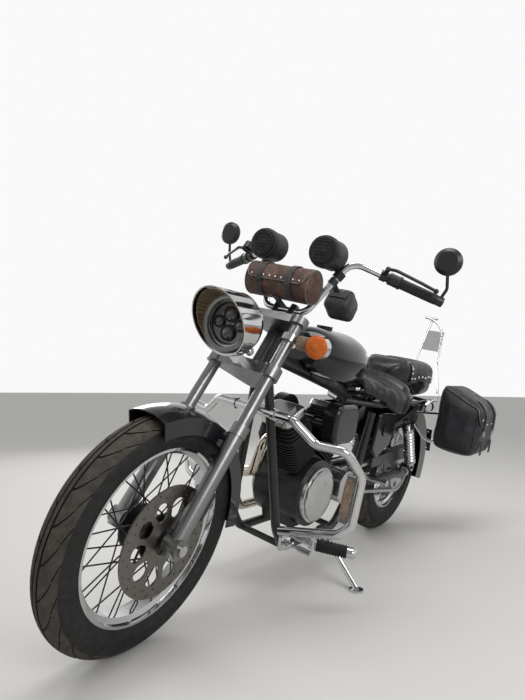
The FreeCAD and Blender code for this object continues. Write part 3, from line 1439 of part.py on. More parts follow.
def pivot_and_axle():
    """The swingarm's pivot bolt and the rear axle with its nuts and spacers."""
    reach = s.pivot_side + s.frame_tube + s.seat_gap
    bolt = rod(
        (s.pivot_ahead, -reach - 8, s.pivot_height), (s.pivot_ahead, reach + 8, s.pivot_height),
        s.pivot_bolt - s.shaft_gap,
    )
    heads = [
        rod((s.pivot_ahead, side * reach, s.pivot_height), (s.pivot_ahead, side * (reach + 9), s.pivot_height), 15)
        for side in (-1, 1)
    ]
    level = s.rear_wheel_radius
    far = s.arm_side + 5 + s.seat_gap
    axle = rod((0, -far - 16, level), (0, far + 16, level), s.rear_axle_radius)
    nuts = [rod((0, side * far, level), (0, side * (far + 11), level), 15) for side in (-1, 1)]
    left_inner = s.sprocket_side + s.sprocket_width / 2 + s.seat_gap
    spacers = [
        rod((0, left_inner, level), (0, s.arm_side - 5 - s.seat_gap, level), 15),
        rod((0, -s.rear_hub_half - s.seat_gap, level), (0, -s.arm_side + 5 + s.seat_gap, level), 15),
    ]
    return Part.Compound([bolt.fuse(heads), axle.fuse(nuts + spacers)])


def rear_shocks():
    """Two spring units; each spring is turned as a stack of coil ridges."""
    foot = Vector(s.shock_foot_ahead, s.shock_side, s.shock_foot_height)
    top = Vector(s.shock_top_ahead, s.shock_side, s.shock_top_height)
    along = (top - foot).normalize()
    length = (top - foot).Length
    coils = int(s.coil_count)
    first, last = 44.0, length - 40.0
    pitch = (last - first) / coils
    corners = [(0, first - 8), (s.shock_radius + 1, first - 8), (s.shock_radius + 1, first)]
    for n in range(coils):
        corners.append((s.shock_radius - 6, first + pitch * n + 1))
        corners.append((s.shock_radius, first + pitch * (n + 0.3)))
        corners.append((s.shock_radius, first + pitch * (n + 0.7)))
    corners += [
        (s.shock_radius - 6, last - 1),
        (s.shock_radius + 1, last),
        (s.shock_radius + 1, last + 8),
        (12, last + 8),
        (12, length - 6),
        (0, length - 6),
    ]
    body = turned([(r, 0, z) for r, z in corners], UP)
    body = body.fuse(Part.makeCylinder(12, first, Vector(0, 0, 6)))
    body.Placement = Placement(foot, Rotation(UP, along))
    eyes = [Part.makeCylinder(16, 22, point - LEFT * 11, LEFT) for point in (foot, top)]
    pins = [Part.makeCylinder(s.shock_pin + s.shaft_gap, 80, point - LEFT * 40, LEFT) for point in (foot, top)]
    left = body.fuse(eyes).cut(pins)
    return Part.Compound([left, mirrored(left)])


def chain_track():
    """The chain's middle line about both sprockets, from the rear one's lower side."""
    big, small = s.sprocket_radius, s.front_sprocket
    rear = Vector(0, 0, s.rear_wheel_radius)
    front = Vector(s.gearbox_ahead, 0, s.gearbox_height)
    return rear, front, big, small


def chain_ring(extra):
    """The outline of the chain's loop, moved outward by extra, as a face in the side plane."""
    rear, front, big, small = chain_track()
    big, small = big + extra, small + extra
    along = front - rear
    reach = along.Length
    tilt = math.atan2(along.z, along.x)
    open_angle = math.acos((big - small) / reach)

    def at(centre, radius, angle):
        return (centre.x + radius * math.cos(angle), 0, centre.z + radius * math.sin(angle))

    corners = [
        at(rear, big, tilt + open_angle),
        at(rear, big, tilt + math.pi) + ("arc",),
        at(rear, big, tilt - open_angle),
        at(front, small, tilt - open_angle),
        at(front, small, tilt) + ("arc",),
        at(front, small, tilt + open_angle),
    ]
    return Part.Face(outline(corners))


def chain_point(run):
    """A point on the chain's middle line, this far along it, and the way outwards."""
    rear, front, big, small = chain_track()
    along = front - rear
    tilt = math.atan2(along.z, along.x)
    open_angle = math.acos((big - small) / along.Length)
    straight = math.sqrt(along.Length ** 2 - (big - small) ** 2)
    round_rear = 2 * (math.pi - open_angle) * big
    round_front = 2 * open_angle * small
    total = 2 * straight + round_rear + round_front
    run = run % total

    def way(angle):
        return Vector(math.cos(angle), 0, math.sin(angle))

    if run < round_rear:
        out = way(tilt + open_angle + run / big)
        return rear + out * big, out, total
    run -= round_rear
    if run < straight:
        out = way(tilt - open_angle)
        return rear + out * big + out.cross(LEFT) * run, out, total
    run -= straight
    if run < round_front:
        out = way(tilt - open_angle + run / small)
        return front + out * small, out, total
    run -= round_front
    out = way(tilt + open_angle)
    return front + out * small + out.cross(LEFT) * run, out, total


def linked_ring(at_pin, at_waist):
    """The chain's loop as a face whose outline swells at each pin and narrows between them."""
    total = chain_point(0)[2]
    links = int(round(total / s.chain_pitch))
    corners = []
    for n in range(links):
        for share, extra in ((-0.22, at_pin), (0.22, at_pin), (0.5, at_waist)):
            point, out, total = chain_point((n + share) * total / links)
            corners.append(tuple(point + out * extra))
    return Part.Face(outline(corners))


def chain():
    """Both rows of side plates, joined along the outside, with room for the sprocket's teeth."""
    ring = linked_ring(7.4, 5.6).extrude(LEFT * 14).cut(linked_ring(-6.0, -4.2).extrude(LEFT * 14))
    ring.translate(LEFT * (s.sprocket_side - 7))
    slot = chain_ring(4.6).extrude(LEFT * (s.sprocket_width + 1)).cut(chain_ring(-7.0).extrude(LEFT * 8))
    slot.translate(LEFT * (s.sprocket_side - s.sprocket_width / 2 - 0.5))
    return ring.cut(slot)


def front_sprocket():
    return Part.makeCylinder(
        s.front_sprocket - 7, s.sprocket_width + 14,
        Vector(s.gearbox_ahead, s.gearbox_half, s.gearbox_height), LEFT,
    )


def chain_guard():
    """A folded guard above the chain's upper run."""
    top = chain_ring(26.0).extrude(LEFT * 34)
    inside = chain_ring(23.5).extrude(LEFT * 31.5)
    top.translate(LEFT * (s.sprocket_side - 14))
    inside.translate(LEFT * (s.sprocket_side - 14))
    keep = Part.makeBox(420, 60, 130, Vector(-40, s.sprocket_side - 30, s.rear_wheel_radius + 62))
    band = top.cut(inside).common(keep)
    tab = Part.makeBox(40, 2.5, 66, Vector(200, s.sprocket_side + 17.5, s.pivot_height + 10))
    return band.fuse(tab)


def sissy_bar():
    """A thin bent rod backrest with one dull plate in its middle, on the seat rails."""
    side = s.rail_side + s.rail_tube + s.sissy_rod + s.seat_gap
    left = [
        (-30, side, s.rail_height + 2),
        (s.pillion_rear - 14, side, s.rail_height + 14),
        (s.pillion_rear - 112, 58, s.rail_height + 186),
        (s.pillion_rear - 186, 34, s.sissy_height),
    ]
    right = [(x, -y, z) for x, y, z in reversed(left)]
    loop = tube(left + right, [60, 70, 120, 26, 26, 120, 70, 60], s.sissy_rod)
    plate = Part.makeBox(4, 96, 110, Vector(-2, -48, -55))
    lean_back = math.degrees(math.atan2(left[2][0] - left[3][0], left[3][2] - left[2][2]))
    middle = Vector(0.5 * (left[2][0] + left[3][0]), 0, 0.5 * (left[2][2] + left[3][2]))
    plate.Placement = Placement(middle, Rotation(LEFT, -lean_back))
    return loop.fuse(plate)


def saddlebag():
    """A stiff bag whose lid falls towards the outside, rounded along its length and at its ends."""
    rear = s.bag_front - s.bag_length
    inner, outer = s.bag_inner, s.bag_inner + s.bag_thick
    low, high, brow = s.bag_low, s.bag_high, s.bag_high - s.bag_slope
    corners = [(rear, inner, low), (rear, outer - 14, low), (rear, outer, brow), (rear, inner, high)]
    body = Part.Face(outline(corners)).extrude(Vector(s.bag_length, 0, 0))
    for corner, radius in zip(corners, (20.0, 34.0, 30.0, 22.0)):
        near = [e for e in body.Edges if abs(e.BoundBox.YMin - corner[1]) + abs(e.BoundBox.ZMin - corner[2]) < 1
                and e.BoundBox.XLength > s.bag_length - 1]
        body = body.makeFillet(radius, near)
    return body.makeFillet(12.0, [e for e in body.Edges if e.BoundBox.XLength < 1])


def bag_rails():
    """A bent rod from each shock's top down round behind the bag and up to the seat rail."""
    side = s.bag_inner - s.seat_gap - s.bag_rod
    near = s.shock_side + 21 + s.seat_gap + s.bag_rod
    low = s.bag_low + 26
    rear = s.bag_front - s.bag_length
    points = [
        (s.shock_top_ahead, near, s.shock_top_height),
        (s.bag_front + 90, side, s.bag_low + 60),
        (s.bag_front - 30, side, low),
        (rear + 60, side, low),
        (rear + 30, side, s.shock_top_height + 36),
        (s.bag_front - 60, side, s.shock_top_height + 36),
        (60, s.rail_side + s.rail_tube + s.seat_gap + s.bag_rod, s.shock_top_height + 38),
    ]
    left = tube(points, [60, 50, 60, 50, 60], s.bag_rod)
    return Part.Compound([left, mirrored(left)])


def guard_path():
    """The guard's left half, from beside its clamp down to the cradle."""
    top, low = s.guard_top_height, s.guard_low_height
    return [
        (s.guard_top_ahead - 5, 120, top),
        (s.guard_top_ahead - 5, 145, top),
        (s.guard_top_ahead - 39, 215, top - 57),
        (s.guard_top_ahead - 59, s.guard_half - 30, top - 53),
        (s.guard_top_ahead - 129, s.guard_half, top - 130),
        (s.guard_top_ahead - 119, s.guard_half, low + 94),
        (s.guard_low_ahead - 5, s.guard_half - 30, low + 62),
        (s.guard_low_ahead, s.cradle_side + s.frame_tube + s.seat_gap + 4.3, low),
    ]


def engine_guard():
    """One bent tube round both sides, clamped to the cradle, with a flat pad inside each upright."""
    left = guard_path()
    whole = [(x, -y, z) for x, y, z in reversed(left)][:-1] + left[1:]
    bends = [30, 34, 40, 40, 40, 34, 34, 40, 40, 40, 34, 30]
    body = tube(whole, bends, s.guard_tube)
    upper, lower = Vector(*left[4]), Vector(*left[5])
    pad = Part.makeBox(12, 46, (upper - lower).Length, Vector(-6, -46, 0))
    pad = pad.makeFillet(5.0, pad.Edges)
    pad.Placement = Placement(lower, Rotation(UP, upper - lower))
    ring = rod(
        (s.guard_top_ahead - 5, 70, s.guard_top_height), (s.guard_top_ahead - 5, 84, s.guard_top_height),
        s.guard_tube + 4,
    )
    return body.fuse([pad, mirrored(pad), ring, mirrored(ring)])


def downtube_at(height):
    """The middle of the left downtube at a height."""
    top, low = Vector(*cradle_path()[0]), Vector(*cradle_path()[1])
    share = (top.z - height) / (top.z - low.z)
    return top + (low - top) * share


def guard_mount():
    """The bracket between the downtubes that carries the guard's top."""
    point = downtube_at(s.guard_top_height)
    gap = s.guard_top_ahead - 5 - s.guard_tube - s.seat_gap
    return Part.makeBox(gap - point.x, 70, 26, Vector(point.x, -35, s.guard_top_height - 13))


def footpegs():
    pieces = []
    inner = s.cradle_side + s.frame_tube + s.seat_gap
    lift = s.peg_height
    rubber_from = Vector(s.peg_ahead + 8, s.peg_inner, lift)
    out = Vector(-0.36, 0.932, 0.05).normalize()
    bracket = Part.makeBox(54, 10, 62, Vector(s.peg_ahead - 14, inner, s.cradle_low + 8))
    bracket = bracket.makeFillet(8.0, [e for e in bracket.Edges if abs(e.tangentAt(e.FirstParameter).y) > 0.9])
    arm = rod((s.peg_ahead + 8, inner + 4, lift), rubber_from, 11.0)
    hinge = rod(rubber_from - UP * 15, rubber_from + UP * 15, 12.0)
    peg = Part.makeCylinder(s.peg_radius, s.peg_length, rubber_from + out * 8, out)
    end = Part.makeSphere(s.peg_radius, rubber_from + out * (8 + s.peg_length))
    left = bracket.fuse([arm, hinge, peg, end])
    low = Part.makeBox(86, 10, 30, Vector(s.pivot_ahead - 110, s.pivot_side + 4 + s.seat_gap, s.pivot_height + 16))
    rear_peg = Part.makeCylinder(12.0, 92, Vector(s.pivot_ahead - 92, s.pivot_side + 10, s.pivot_height + 31), LEFT)
    left_rear = low.fuse(rear_peg)
    return Part.Compound([left, mirrored(left), left_rear, mirrored(left_rear)])


def foot_levers():
    """The gear lever on the left and the brake pedal on the right, on the peg brackets."""
    inner = s.cradle_side + s.frame_tube + s.seat_gap + 10 + s.seat_gap
    pivot = Vector(s.peg_ahead - 6, inner, s.cradle_low + 24)
    boss = Part.makeCylinder(10.0, 16.0, pivot, LEFT)
    shift = tube([
        pivot + LEFT * 9,
        pivot + Vector(60, 30, 10),
        pivot + Vector(96, 66, 44),
        pivot + Vector(96, 120, 46),
    ], [30, 22], 5.5)
    toe = Part.makeCylinder(9.0, 44.0, pivot + Vector(96, 92, 45), LEFT)
    left = boss.fuse([shift, toe])
    brake = tube([
        pivot + LEFT * 9,
        pivot + Vector(50, 40, 2),
        pivot + Vector(80, 70, 30),
    ], [30], 6.5)
    pad = Part.makeBox(46, 62, 9, Vector(pivot.x + 56, pivot.y + 50, pivot.z + 30))
    pad = pad.makeFillet(3.5, pad.Edges)
    right = mirrored(boss.fuse([brake, pad]))
    return Part.Compound([left, right])


def tail_lamp():
    """Lamp on the rear fender, bracket below it with a blank plate, and two rear indicators."""
    radius = s.rear_wheel_radius + s.rear_fender_gap + s.fender_wall
    height = 566.0
    back = -math.sqrt(radius ** 2 - (height - s.rear_wheel_radius) ** 2)
    lamp = Part.makeCylinder(34.0, 66.0, Vector(back - 74, 0, height), Vector(1, 0, 0))
    lens = Part.makeSphere(40.0, Vector(back - 58, 0, height))
    lens = lens.common(Part.makeCylinder(31.0, 60.0, Vector(back - 110, 0, height), Vector(1, 0, 0)))
    foot = Part.makeBox(90, 40, 26, Vector(back - 40, -20, height - 12))
    wheel = Part.makeCylinder(radius + s.seat_gap, 300, Vector(0, -150, s.rear_wheel_radius), LEFT)
    return lamp.fuse([lens, foot]).cut(wheel)


def plate_bracket():
    """The plate's carrier: a flat sheet with four bores, on two arms from the fender."""
    radius = s.rear_wheel_radius + s.rear_fender_gap + s.fender_wall + s.seat_gap
    sheet_metal = Part.makeBox(3, 180, 120, Vector(0, -90, -60))
    holes = [
        Part.makeCylinder(s.plate_bore, 20, Vector(-8, y, z), Vector(1, 0, 0)) for y in (-70, 70) for z in (-45, 45)
    ]
    sheet_metal = sheet_metal.cut(holes)
    sheet_metal.Placement = Placement(Vector(-366, 0, 424), Rotation(LEFT, 12))
    arms = [Part.makeBox(110, 16, 20, Vector(-366, y - 8, 424)) for y in (-40, 40)]
    wheel = Part.makeCylinder(radius, 300, Vector(0, -150, s.rear_wheel_radius), LEFT)
    return sheet_metal.fuse(arms).cut(wheel)


def rear_indicators():
    pieces = []
    for side in (-1, 1):
        root = Vector(s.rear_lamp_ahead, side * (s.rail_side + s.rail_tube + s.seat_gap), s.rail_height)
        lamp_at = Vector(s.rear_lamp_ahead, side * s.rear_lamp_side, s.rail_height)
        back = Vector(-1, 0, 0)
        bowl = Part.makeCylinder(27.0, 26, lamp_at, back)
        tail = Part.makeCone(27.0, 10, 22, lamp_at, back * -1)
        lens = Part.makeCone(25.0, 16, 8, lamp_at + back * 26, back)
        pieces.append(rod(root, lamp_at, 6.0).fuse([bowl, tail, lens]))
    return Part.Compound(pieces)


# The side stand, on its own tilted pivot

STAND_PIVOT = Vector(s.stand_ahead, s.stand_side, s.stand_height)


def stand_foot():
    """The foot's point on the ground, below the leaning bike."""
    lean = math.radians(s.lean_angle)
    rise = (s.foot_side * math.sin(lean) - lean_lift) / math.cos(lean)
    return Vector(s.foot_ahead, s.foot_side, rise)


def stand_axis():
    """The pivot's direction and the swing from parked to folded back."""
    parked = (stand_foot() - STAND_PIVOT).normalize()
    folded = Vector(-0.985, 0.12, -0.05).normalize()
    axis = parked.cross(folded).normalize()
    return axis, math.degrees(parked.getAngle(folded))


def side_stand():
    axis, swing = stand_axis()
    foot = stand_foot()
    down = CHASSIS.Rotation.inverted().multVec(Vector(0, 0, -1))
    leg = rod(STAND_PIVOT, foot - down * 8, s.stand_tube)
    eye = Part.makeCylinder(17.0, 14.0, STAND_PIVOT - axis * 7, axis)
    pad = Part.makeCylinder(24.0, 7.0, foot - down * 7, down)
    body = leg.fuse([eye, pad])
    pin = Part.makeCylinder(s.stand_pin + s.shaft_gap, 80.0, STAND_PIVOT - axis * 40, axis)
    over = Part.makeCylinder(40.0, 30.0, STAND_PIVOT + axis * 7, axis)
    under = Part.makeCylinder(40.0, 30.0, STAND_PIVOT - axis * 7, axis * -1)
    return body.cut([pin, over, under])


def stand_bracket():
    """A fork of two ears and a pin on the cradle, for the stand's eye."""
    axis, swing = stand_axis()
    inner = s.cradle_side + 5
    ears = []
    for way in (1, -1):
        foot = STAND_PIVOT + axis * (way * (7 + s.seat_gap))
        ear = Part.makeCylinder(17.0, 6.0, foot, axis * way)
        inward = (axis * LEFT.dot(axis) - LEFT).normalize()
        across = axis.cross(inward) * 17
        run = Part.Face(outline([foot + across, foot - across, foot - across + inward * 60, foot + across + inward * 60]))
        ears += [ear, run.extrude(axis * (6 * way))]
    pin = Part.makeCylinder(s.stand_pin, 30.0, STAND_PIVOT - axis * 15, axis)
    block = Part.makeBox(60, s.frame_tube - 3, 44, Vector(s.stand_ahead - 30, inner, s.cradle_low - 16))
    body = pin.fuse(ears + [block])
    keep = Part.makeBox(200, 100, 200, Vector(s.stand_ahead - 100, inner, s.stand_height - 100))
    return body.common(keep)


part("frame", drawn(frame()), CHASSIS)
part("engine_cases", fuse(crankcase(), drawn(front_sprocket())), CHASSIS)
part("cylinders", drawn(Part.Compound([finned_cylinder(1), finned_cylinder(-1)])), CHASSIS)
part("rocker_covers", drawn(Part.Compound([rocker_cover(1), rocker_cover(-1)])), CHASSIS)
part("engine_covers", drawn(engine_covers()), CHASSIS)
part("intake", drawn(intake()), CHASSIS)
part("exhaust_pipes", drawn(exhaust_pipes()), CHASSIS)
part("silencers", drawn(silencers()), CHASSIS)
part("fuel_tank", drawn(fuel_tank().fuse(tank_cap())), CHASSIS)
part("rider_seat", drawn(rider_seat()), CHASSIS)
part("pillion_seat", pillion_seat(), CHASSIS)
part("rear_fender", drawn(rear_fender()), CHASSIS)
part("side_covers", drawn(side_covers()), CHASSIS)
part("swingarm", drawn(swingarm()), CHASSIS)
part("pivot_and_axle", drawn(pivot_and_axle()), CHASSIS)
part("rear_shocks", drawn(rear_shocks()), CHASSIS)
part("chain", drawn(chain()), CHASSIS)
part("chain_guard", drawn(chain_guard()), CHASSIS)
part("sissy_bar", drawn(sissy_bar()), CHASSIS)
left_bag = saddlebag()
part("left_saddlebag", drawn(left_bag), CHASSIS)
part("right_saddlebag", drawn(mirrored(left_bag)), CHASSIS)
part("bag_rails", drawn(bag_rails()), CHASSIS)
part("engine_guard", drawn(engine_guard()), CHASSIS)
part("foot_controls", drawn(Part.Compound([footpegs(), foot_levers()])), CHASSIS)
part("tail_lamp", drawn(Part.Compound([tail_lamp(), plate_bracket()])), CHASSIS)
part("rear_indicators", drawn(rear_indicators()), CHASSIS)
part("side_stand", drawn(side_stand()), CHASSIS)


doc.recompute()
for item in doc.Objects:
    if "Invalid" in item.State or "Error" in item.State:
        raise RuntimeError(f"{item.Label}: {item.State}")
os.makedirs("parts", exist_ok=True)
for item in PARTS:
    if item.Shape.isNull() or not item.Shape.isValid():
        raise RuntimeError(f"{item.Label}: shape is not sound")
    item.Shape.exportStep(f"parts/{item.Label}.step")
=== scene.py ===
import json
import math

import bpy
from bpy.props import FloatProperty, FloatVectorProperty, PointerProperty
from mathutils import Matrix, Vector


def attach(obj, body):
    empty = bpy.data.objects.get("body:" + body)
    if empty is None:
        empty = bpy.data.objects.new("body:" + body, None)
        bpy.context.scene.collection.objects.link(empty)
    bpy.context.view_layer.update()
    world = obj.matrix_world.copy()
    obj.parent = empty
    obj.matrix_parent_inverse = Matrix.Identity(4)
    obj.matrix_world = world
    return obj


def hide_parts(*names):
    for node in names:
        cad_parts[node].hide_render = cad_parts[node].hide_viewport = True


bl_info = {
    "name": "Cruiser Motorcycle",
    "version": (1, 0, 0),
    "blender": (4, 5, 0),
    "location": "3D View > Sidebar > Cruiser",
    "description": "Finishes, tyres, lamps and soft goods of a parked cruiser motorcycle",
    "category": "Object",
}

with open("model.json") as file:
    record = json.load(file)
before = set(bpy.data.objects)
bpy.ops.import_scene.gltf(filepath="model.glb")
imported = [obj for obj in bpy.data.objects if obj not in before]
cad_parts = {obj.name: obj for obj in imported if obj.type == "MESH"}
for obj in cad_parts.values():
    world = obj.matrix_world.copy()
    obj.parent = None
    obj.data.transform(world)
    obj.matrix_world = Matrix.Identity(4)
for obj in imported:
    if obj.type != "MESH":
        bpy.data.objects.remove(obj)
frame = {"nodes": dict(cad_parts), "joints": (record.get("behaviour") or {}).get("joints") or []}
NODES = frame["nodes"]
JOINTS = {joint["name"]: joint for joint in frame["joints"]}
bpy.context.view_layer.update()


# Places


def axes_at(origin, x_axis, y_axis, z_axis):
    """A frame from its origin and three axes."""
    made = Matrix((x_axis, y_axis, z_axis)).transposed().to_4x4()
    made.translation = origin
    return made


def joint_line(name):
    return Vector(JOINTS[name]["pos_m"]), Vector(JOINTS[name]["axis"]).normalized()


REAR_RADIUS = 0.307
LAMP_AHEAD = 0.165
LAMP_HEIGHT = 0.555
RAKE = math.radians(32.0)

rear_centre, rear_across = joint_line("rear_wheel_spin")
front_centre, front_across = joint_line("front_wheel_spin")
steer_up = joint_line("steering")[1]
AHEAD = Vector((1, 0, 0))
SIDES = ((1, "left"), (-1, "right"))
bike_up = AHEAD.cross(rear_across)
BIKE = axes_at(rear_centre - bike_up * REAR_RADIUS, AHEAD, rear_across, bike_up)
FORK = axes_at(front_centre, front_across.cross(steer_up), front_across, steer_up)
LAMP = FORK @ Matrix.Translation((LAMP_AHEAD, 0, LAMP_HEIGHT)) @ Matrix.Rotation(RAKE, 4, "Y")
REAR = BIKE @ Matrix.Translation((0, 0, REAR_RADIUS))
Z_ALONG_X = Matrix.Rotation(math.radians(90), 4, "Y")


# Settings that a user would change


def colour_setting(name, description, default):
    return FloatVectorProperty(
        name=name,
        description=description,
        subtype="COLOR",
        size=3,
        min=0.0,
        max=1.0,
        default=default,
    )


class CruiserFinish(bpy.types.PropertyGroup):
    """Colours and wear of the surfaces"""

    paint: colour_setting("Paint", "Colour of the tank, fenders and side covers", (0.008, 0.009, 0.011))
    brown_leather: colour_setting("Brown leather", "Colour of the tool roll", (0.060, 0.027, 0.018))
    black_leather: colour_setting(
        "Black leather", "Colour of the bar pouch and the straps", (0.017, 0.016, 0.018)
    )
    amber: colour_setting("Indicator lens", "Colour of the direction indicators", (0.62, 0.125, 0.006))
    dust: FloatProperty(
        name="Dust",
        description="How much road dust lies on the lower parts",
        subtype="FACTOR",
        min=0.0,
        max=1.0,
        default=0.35,
    )


class CruiserStage(bpy.types.PropertyGroup):
    """Floor, lamps and camera"""

    floor: colour_setting("Floor", "Colour of the floor", (0.62, 0.61, 0.59))
    sky: FloatProperty(
        name="Surround",
        description="Strength of the even light from all round",
        min=0.0,
        default=0.55,
    )
    lens: FloatProperty(
        name="Lens",
        description="Focal length of the camera",
        subtype="DISTANCE_CAMERA",
        unit="CAMERA",
        min=10.0,
        default=27.28,
    )


# Node trees


def feed(target, value):
    """Sets a socket to a value, or joins it to another node's output."""
    if isinstance(value, bpy.types.NodeSocket):
        target.id_data.links.new(value, target)
    else:
        target.default_value = value


def add_node(tree, kind, inputs=(), **settings):
    """Adds a shader node, sets its settings and feeds its inputs, by name or number."""
    made = tree.nodes.new("ShaderNode" + kind)
    for name, value in settings.items():
        setattr(made, name, value)
    for name, value in dict(inputs).items():
        feed(made.inputs[name], value)
    return made


def object_point(tree):
    return add_node(tree, "TexCoord").outputs["Object"]


def noise(tree, point, scale, detail=3.0, roughness=0.5, distortion=0.0):
    inputs = {
        "Vector": point,
        "Scale": scale,
        "Detail": detail,
        "Roughness": roughness,
        "Distortion": distortion,
    }
    return add_node(tree, "TexNoise", inputs).outputs["Fac"]


def stretch(tree, value, low, high, to_low=0.0, to_high=1.0):
    """Maps a value from one span to another, held inside it."""
    inputs = {0: value, 1: low, 2: high, 3: to_low, 4: to_high}
    return add_node(tree, "MapRange", inputs).outputs[0]


def sum_of(tree, operation, first, second):
    return add_node(tree, "Math", {0: first, 1: second}, operation=operation).outputs[0]


def weighed(tree, first, share, second):
    """Adds two values, the first by its share and the second by the rest."""
    kept = sum_of(tree, "MULTIPLY", first, share)
    return sum_of(tree, "ADD", kept, sum_of(tree, "MULTIPLY", second, round(1.0 - share, 4)))


def blend_of(tree, share, first, second):
    """Mixes two colours."""
    mixer = add_node(tree, "Mix", {0: share}, data_type="RGBA")
    feed(mixer.inputs[6], first)
    feed(mixer.inputs[7], second)
    return mixer.outputs[2]


def grey(level):
    return (level, level, level, 1.0)


def colour(values):
    return (*values, 1.0)


# Shared effects


def new_group(name, inputs, outputs):
    """A shader node group with named sockets. Returns it with its input and output nodes."""
    made = bpy.data.node_groups.new(name, "ShaderNodeTree")
    for label, default in inputs:
        socket = made.interface.new_socket(label, in_out="INPUT", socket_type="NodeSocketFloat")
        socket.default_value = default
    for label in outputs:
        made.interface.new_socket(label, in_out="OUTPUT", socket_type="NodeSocketFloat")
    return made, made.nodes.new("NodeGroupInput"), made.nodes.new("NodeGroupOutput")


def dust_group():
    """Pale dust that lies thicker near the ground and on what faces up."""
    made, given, out = new_group("Road dust", [("Amount", 0.4), ("Reach", 0.5)], ["Mask"])
    point = object_point(made)
    height = add_node(made, "SeparateXYZ", {0: point}).outputs[2]
    low = stretch(made, sum_of(made, "DIVIDE", height, given.outputs["Reach"]), 0.0, 1.0, 1.0, 0.12)
    patches = stretch(made, noise(made, point, 9.0, 6.0, 0.62), 0.38, 0.72)
    specks = stretch(made, noise(made, point, 420.0, 2.0), 0.5, 0.8)
    facing = add_node(made, "SeparateXYZ", {0: add_node(made, "NewGeometry").outputs["Normal"]}).outputs[2]
    lying = stretch(made, facing, -0.4, 1.0, 0.35, 1.0)
    mask = weighed(made, patches, 0.75, specks)
    mask = sum_of(made, "MULTIPLY", sum_of(made, "MULTIPLY", mask, low), lying)
    feed(out.inputs[0], sum_of(made, "MULTIPLY", mask, given.outputs["Amount"]))


def smudge_group():
    """Uneven polish: cloudy patches and fine hair lines, as a value about one half."""
    made, given, out = new_group("Uneven polish", [("Scale", 14.0)], ["Value"])
    point = object_point(made)
    broad = noise(made, point, given.outputs["Scale"], 5.0, 0.6, 0.4)
    thin = add_node(made, "Mapping", {"Vector": point, "Scale": (30.0, 30.0, 900.0)}).outputs[0]
    hairs = noise(made, thin, 1.0, 2.0)
    feed(out.inputs[0], stretch(made, weighed(made, broad, 0.8, hairs), 0.3, 0.7))


def leather_group():
    """Leather: pebbled grain with creases. Height for relief, Crease is 0 along a crease and else 1, and
    masks the shade painted into the creases.
    """
    sizes = [("Scale", 420.0), ("Crease", 26.0)]
    made, given, out = new_group("Leather grain", sizes, ["Height", "Crease"])
    point = object_point(made)
    warped = add_node(made, "VectorMath", {0: point, 1: point}, operation="ADD").outputs[0]
    cells = add_node(
        made,
        "TexVoronoi",
        {"Vector": warped, "Scale": given.outputs["Scale"]},
        feature="DISTANCE_TO_EDGE",
    ).outputs[0]
    pebble = stretch(made, cells, 0.0, 0.28)
    folds = noise(made, point, given.outputs["Crease"], 6.0, 0.65, 1.6)
    line = stretch(made, sum_of(made, "ABSOLUTE", sum_of(made, "SUBTRACT", folds, 0.5), 0.0), 0.0, 0.05)
    feed(out.inputs[0], weighed(made, pebble, 0.35, line))
    feed(out.inputs[1], line)


def cast_group():
    """The pitted skin of a sand casting."""
    made, given, out = new_group("Cast skin", [("Scale", 520.0)], ["Height"])
    point = object_point(made)
    fine = noise(made, point, given.outputs["Scale"], 3.0, 0.6)
    broad = noise(made, point, 60.0, 3.0)
    feed(out.inputs[0], weighed(made, fine, 0.7, broad))


def use_group(tree, name, **inputs):
    """Places a shared effect with its own values. Returns its outputs."""
    made = tree.nodes.new("ShaderNodeGroup")
    made.node_tree = bpy.data.node_groups[name]
    for label, value in inputs.items():
        feed(made.inputs[label], value)
    return made.outputs


# Materials


def new_material(name, **sockets):
    """A material with a Principled BSDF, its plain values set on their own sockets."""
    made = bpy.data.materials.new(name)
    made.use_nodes = True
    shader = made.node_tree.nodes["Principled BSDF"]
    for label, value in sockets.items():
        feed(shader.inputs[label.replace("_", " ")], value)
    return made, made.node_tree, shader


def relief(tree, shader, height, depth):
    """Raises the surface by a height map, in metres."""
    bump = add_node(tree, "Bump", {"Strength": 1.0, "Distance": depth, "Height": height})
    feed(shader.inputs["Normal"], bump.outputs[0])


DUST = (0.30, 0.27, 0.23, 1.0)


def dusted(tree, shader, base, rough, amount, reach=0.5):
    """Feeds a base colour and roughness through road dust."""
    mask = use_group(tree, "Road dust", Amount=amount, Reach=reach)[0]
    feed(shader.inputs["Base Color"], blend_of(tree, mask, base, DUST))
    worn = add_node(tree, "Mix", {0: mask, 2: rough, 3: 0.85}, data_type="FLOAT").outputs[0]
    feed(shader.inputs["Roughness"], worn)
    return mask


def paint_material(values):
    made, tree, shader = new_material(
        "Gloss black paint",
        Coat_Weight=0.4,
        Coat_Roughness=0.04,
        Specular_IOR_Level=0.25,
    )
    polish = use_group(tree, "Uneven polish", Scale=11.0)[0]
    rough = stretch(tree, polish, 0.0, 1.0, 0.10, 0.22)
    dusted(tree, shader, colour(values.paint), rough, values.dust * 0.2, 0.7)
    relief(tree, shader, noise(tree, object_point(tree), 240.0, 1.0), 0.00003)
    return made


def skinned_material(name, level, polish, rough, dust, reach, grain, depth, **sockets):
    """A dark dusty surface with a cast skin: rough is its lowest and highest roughness."""
    made, tree, shader = new_material(name, **sockets)
    value = use_group(tree, "Uneven polish", Scale=polish)[0]
    dusted(tree, shader, grey(level), stretch(tree, value, 0.0, 1.0, *rough), dust, reach)
    relief(tree, shader, use_group(tree, "Cast skin", Scale=grain)[0], depth)
    return made


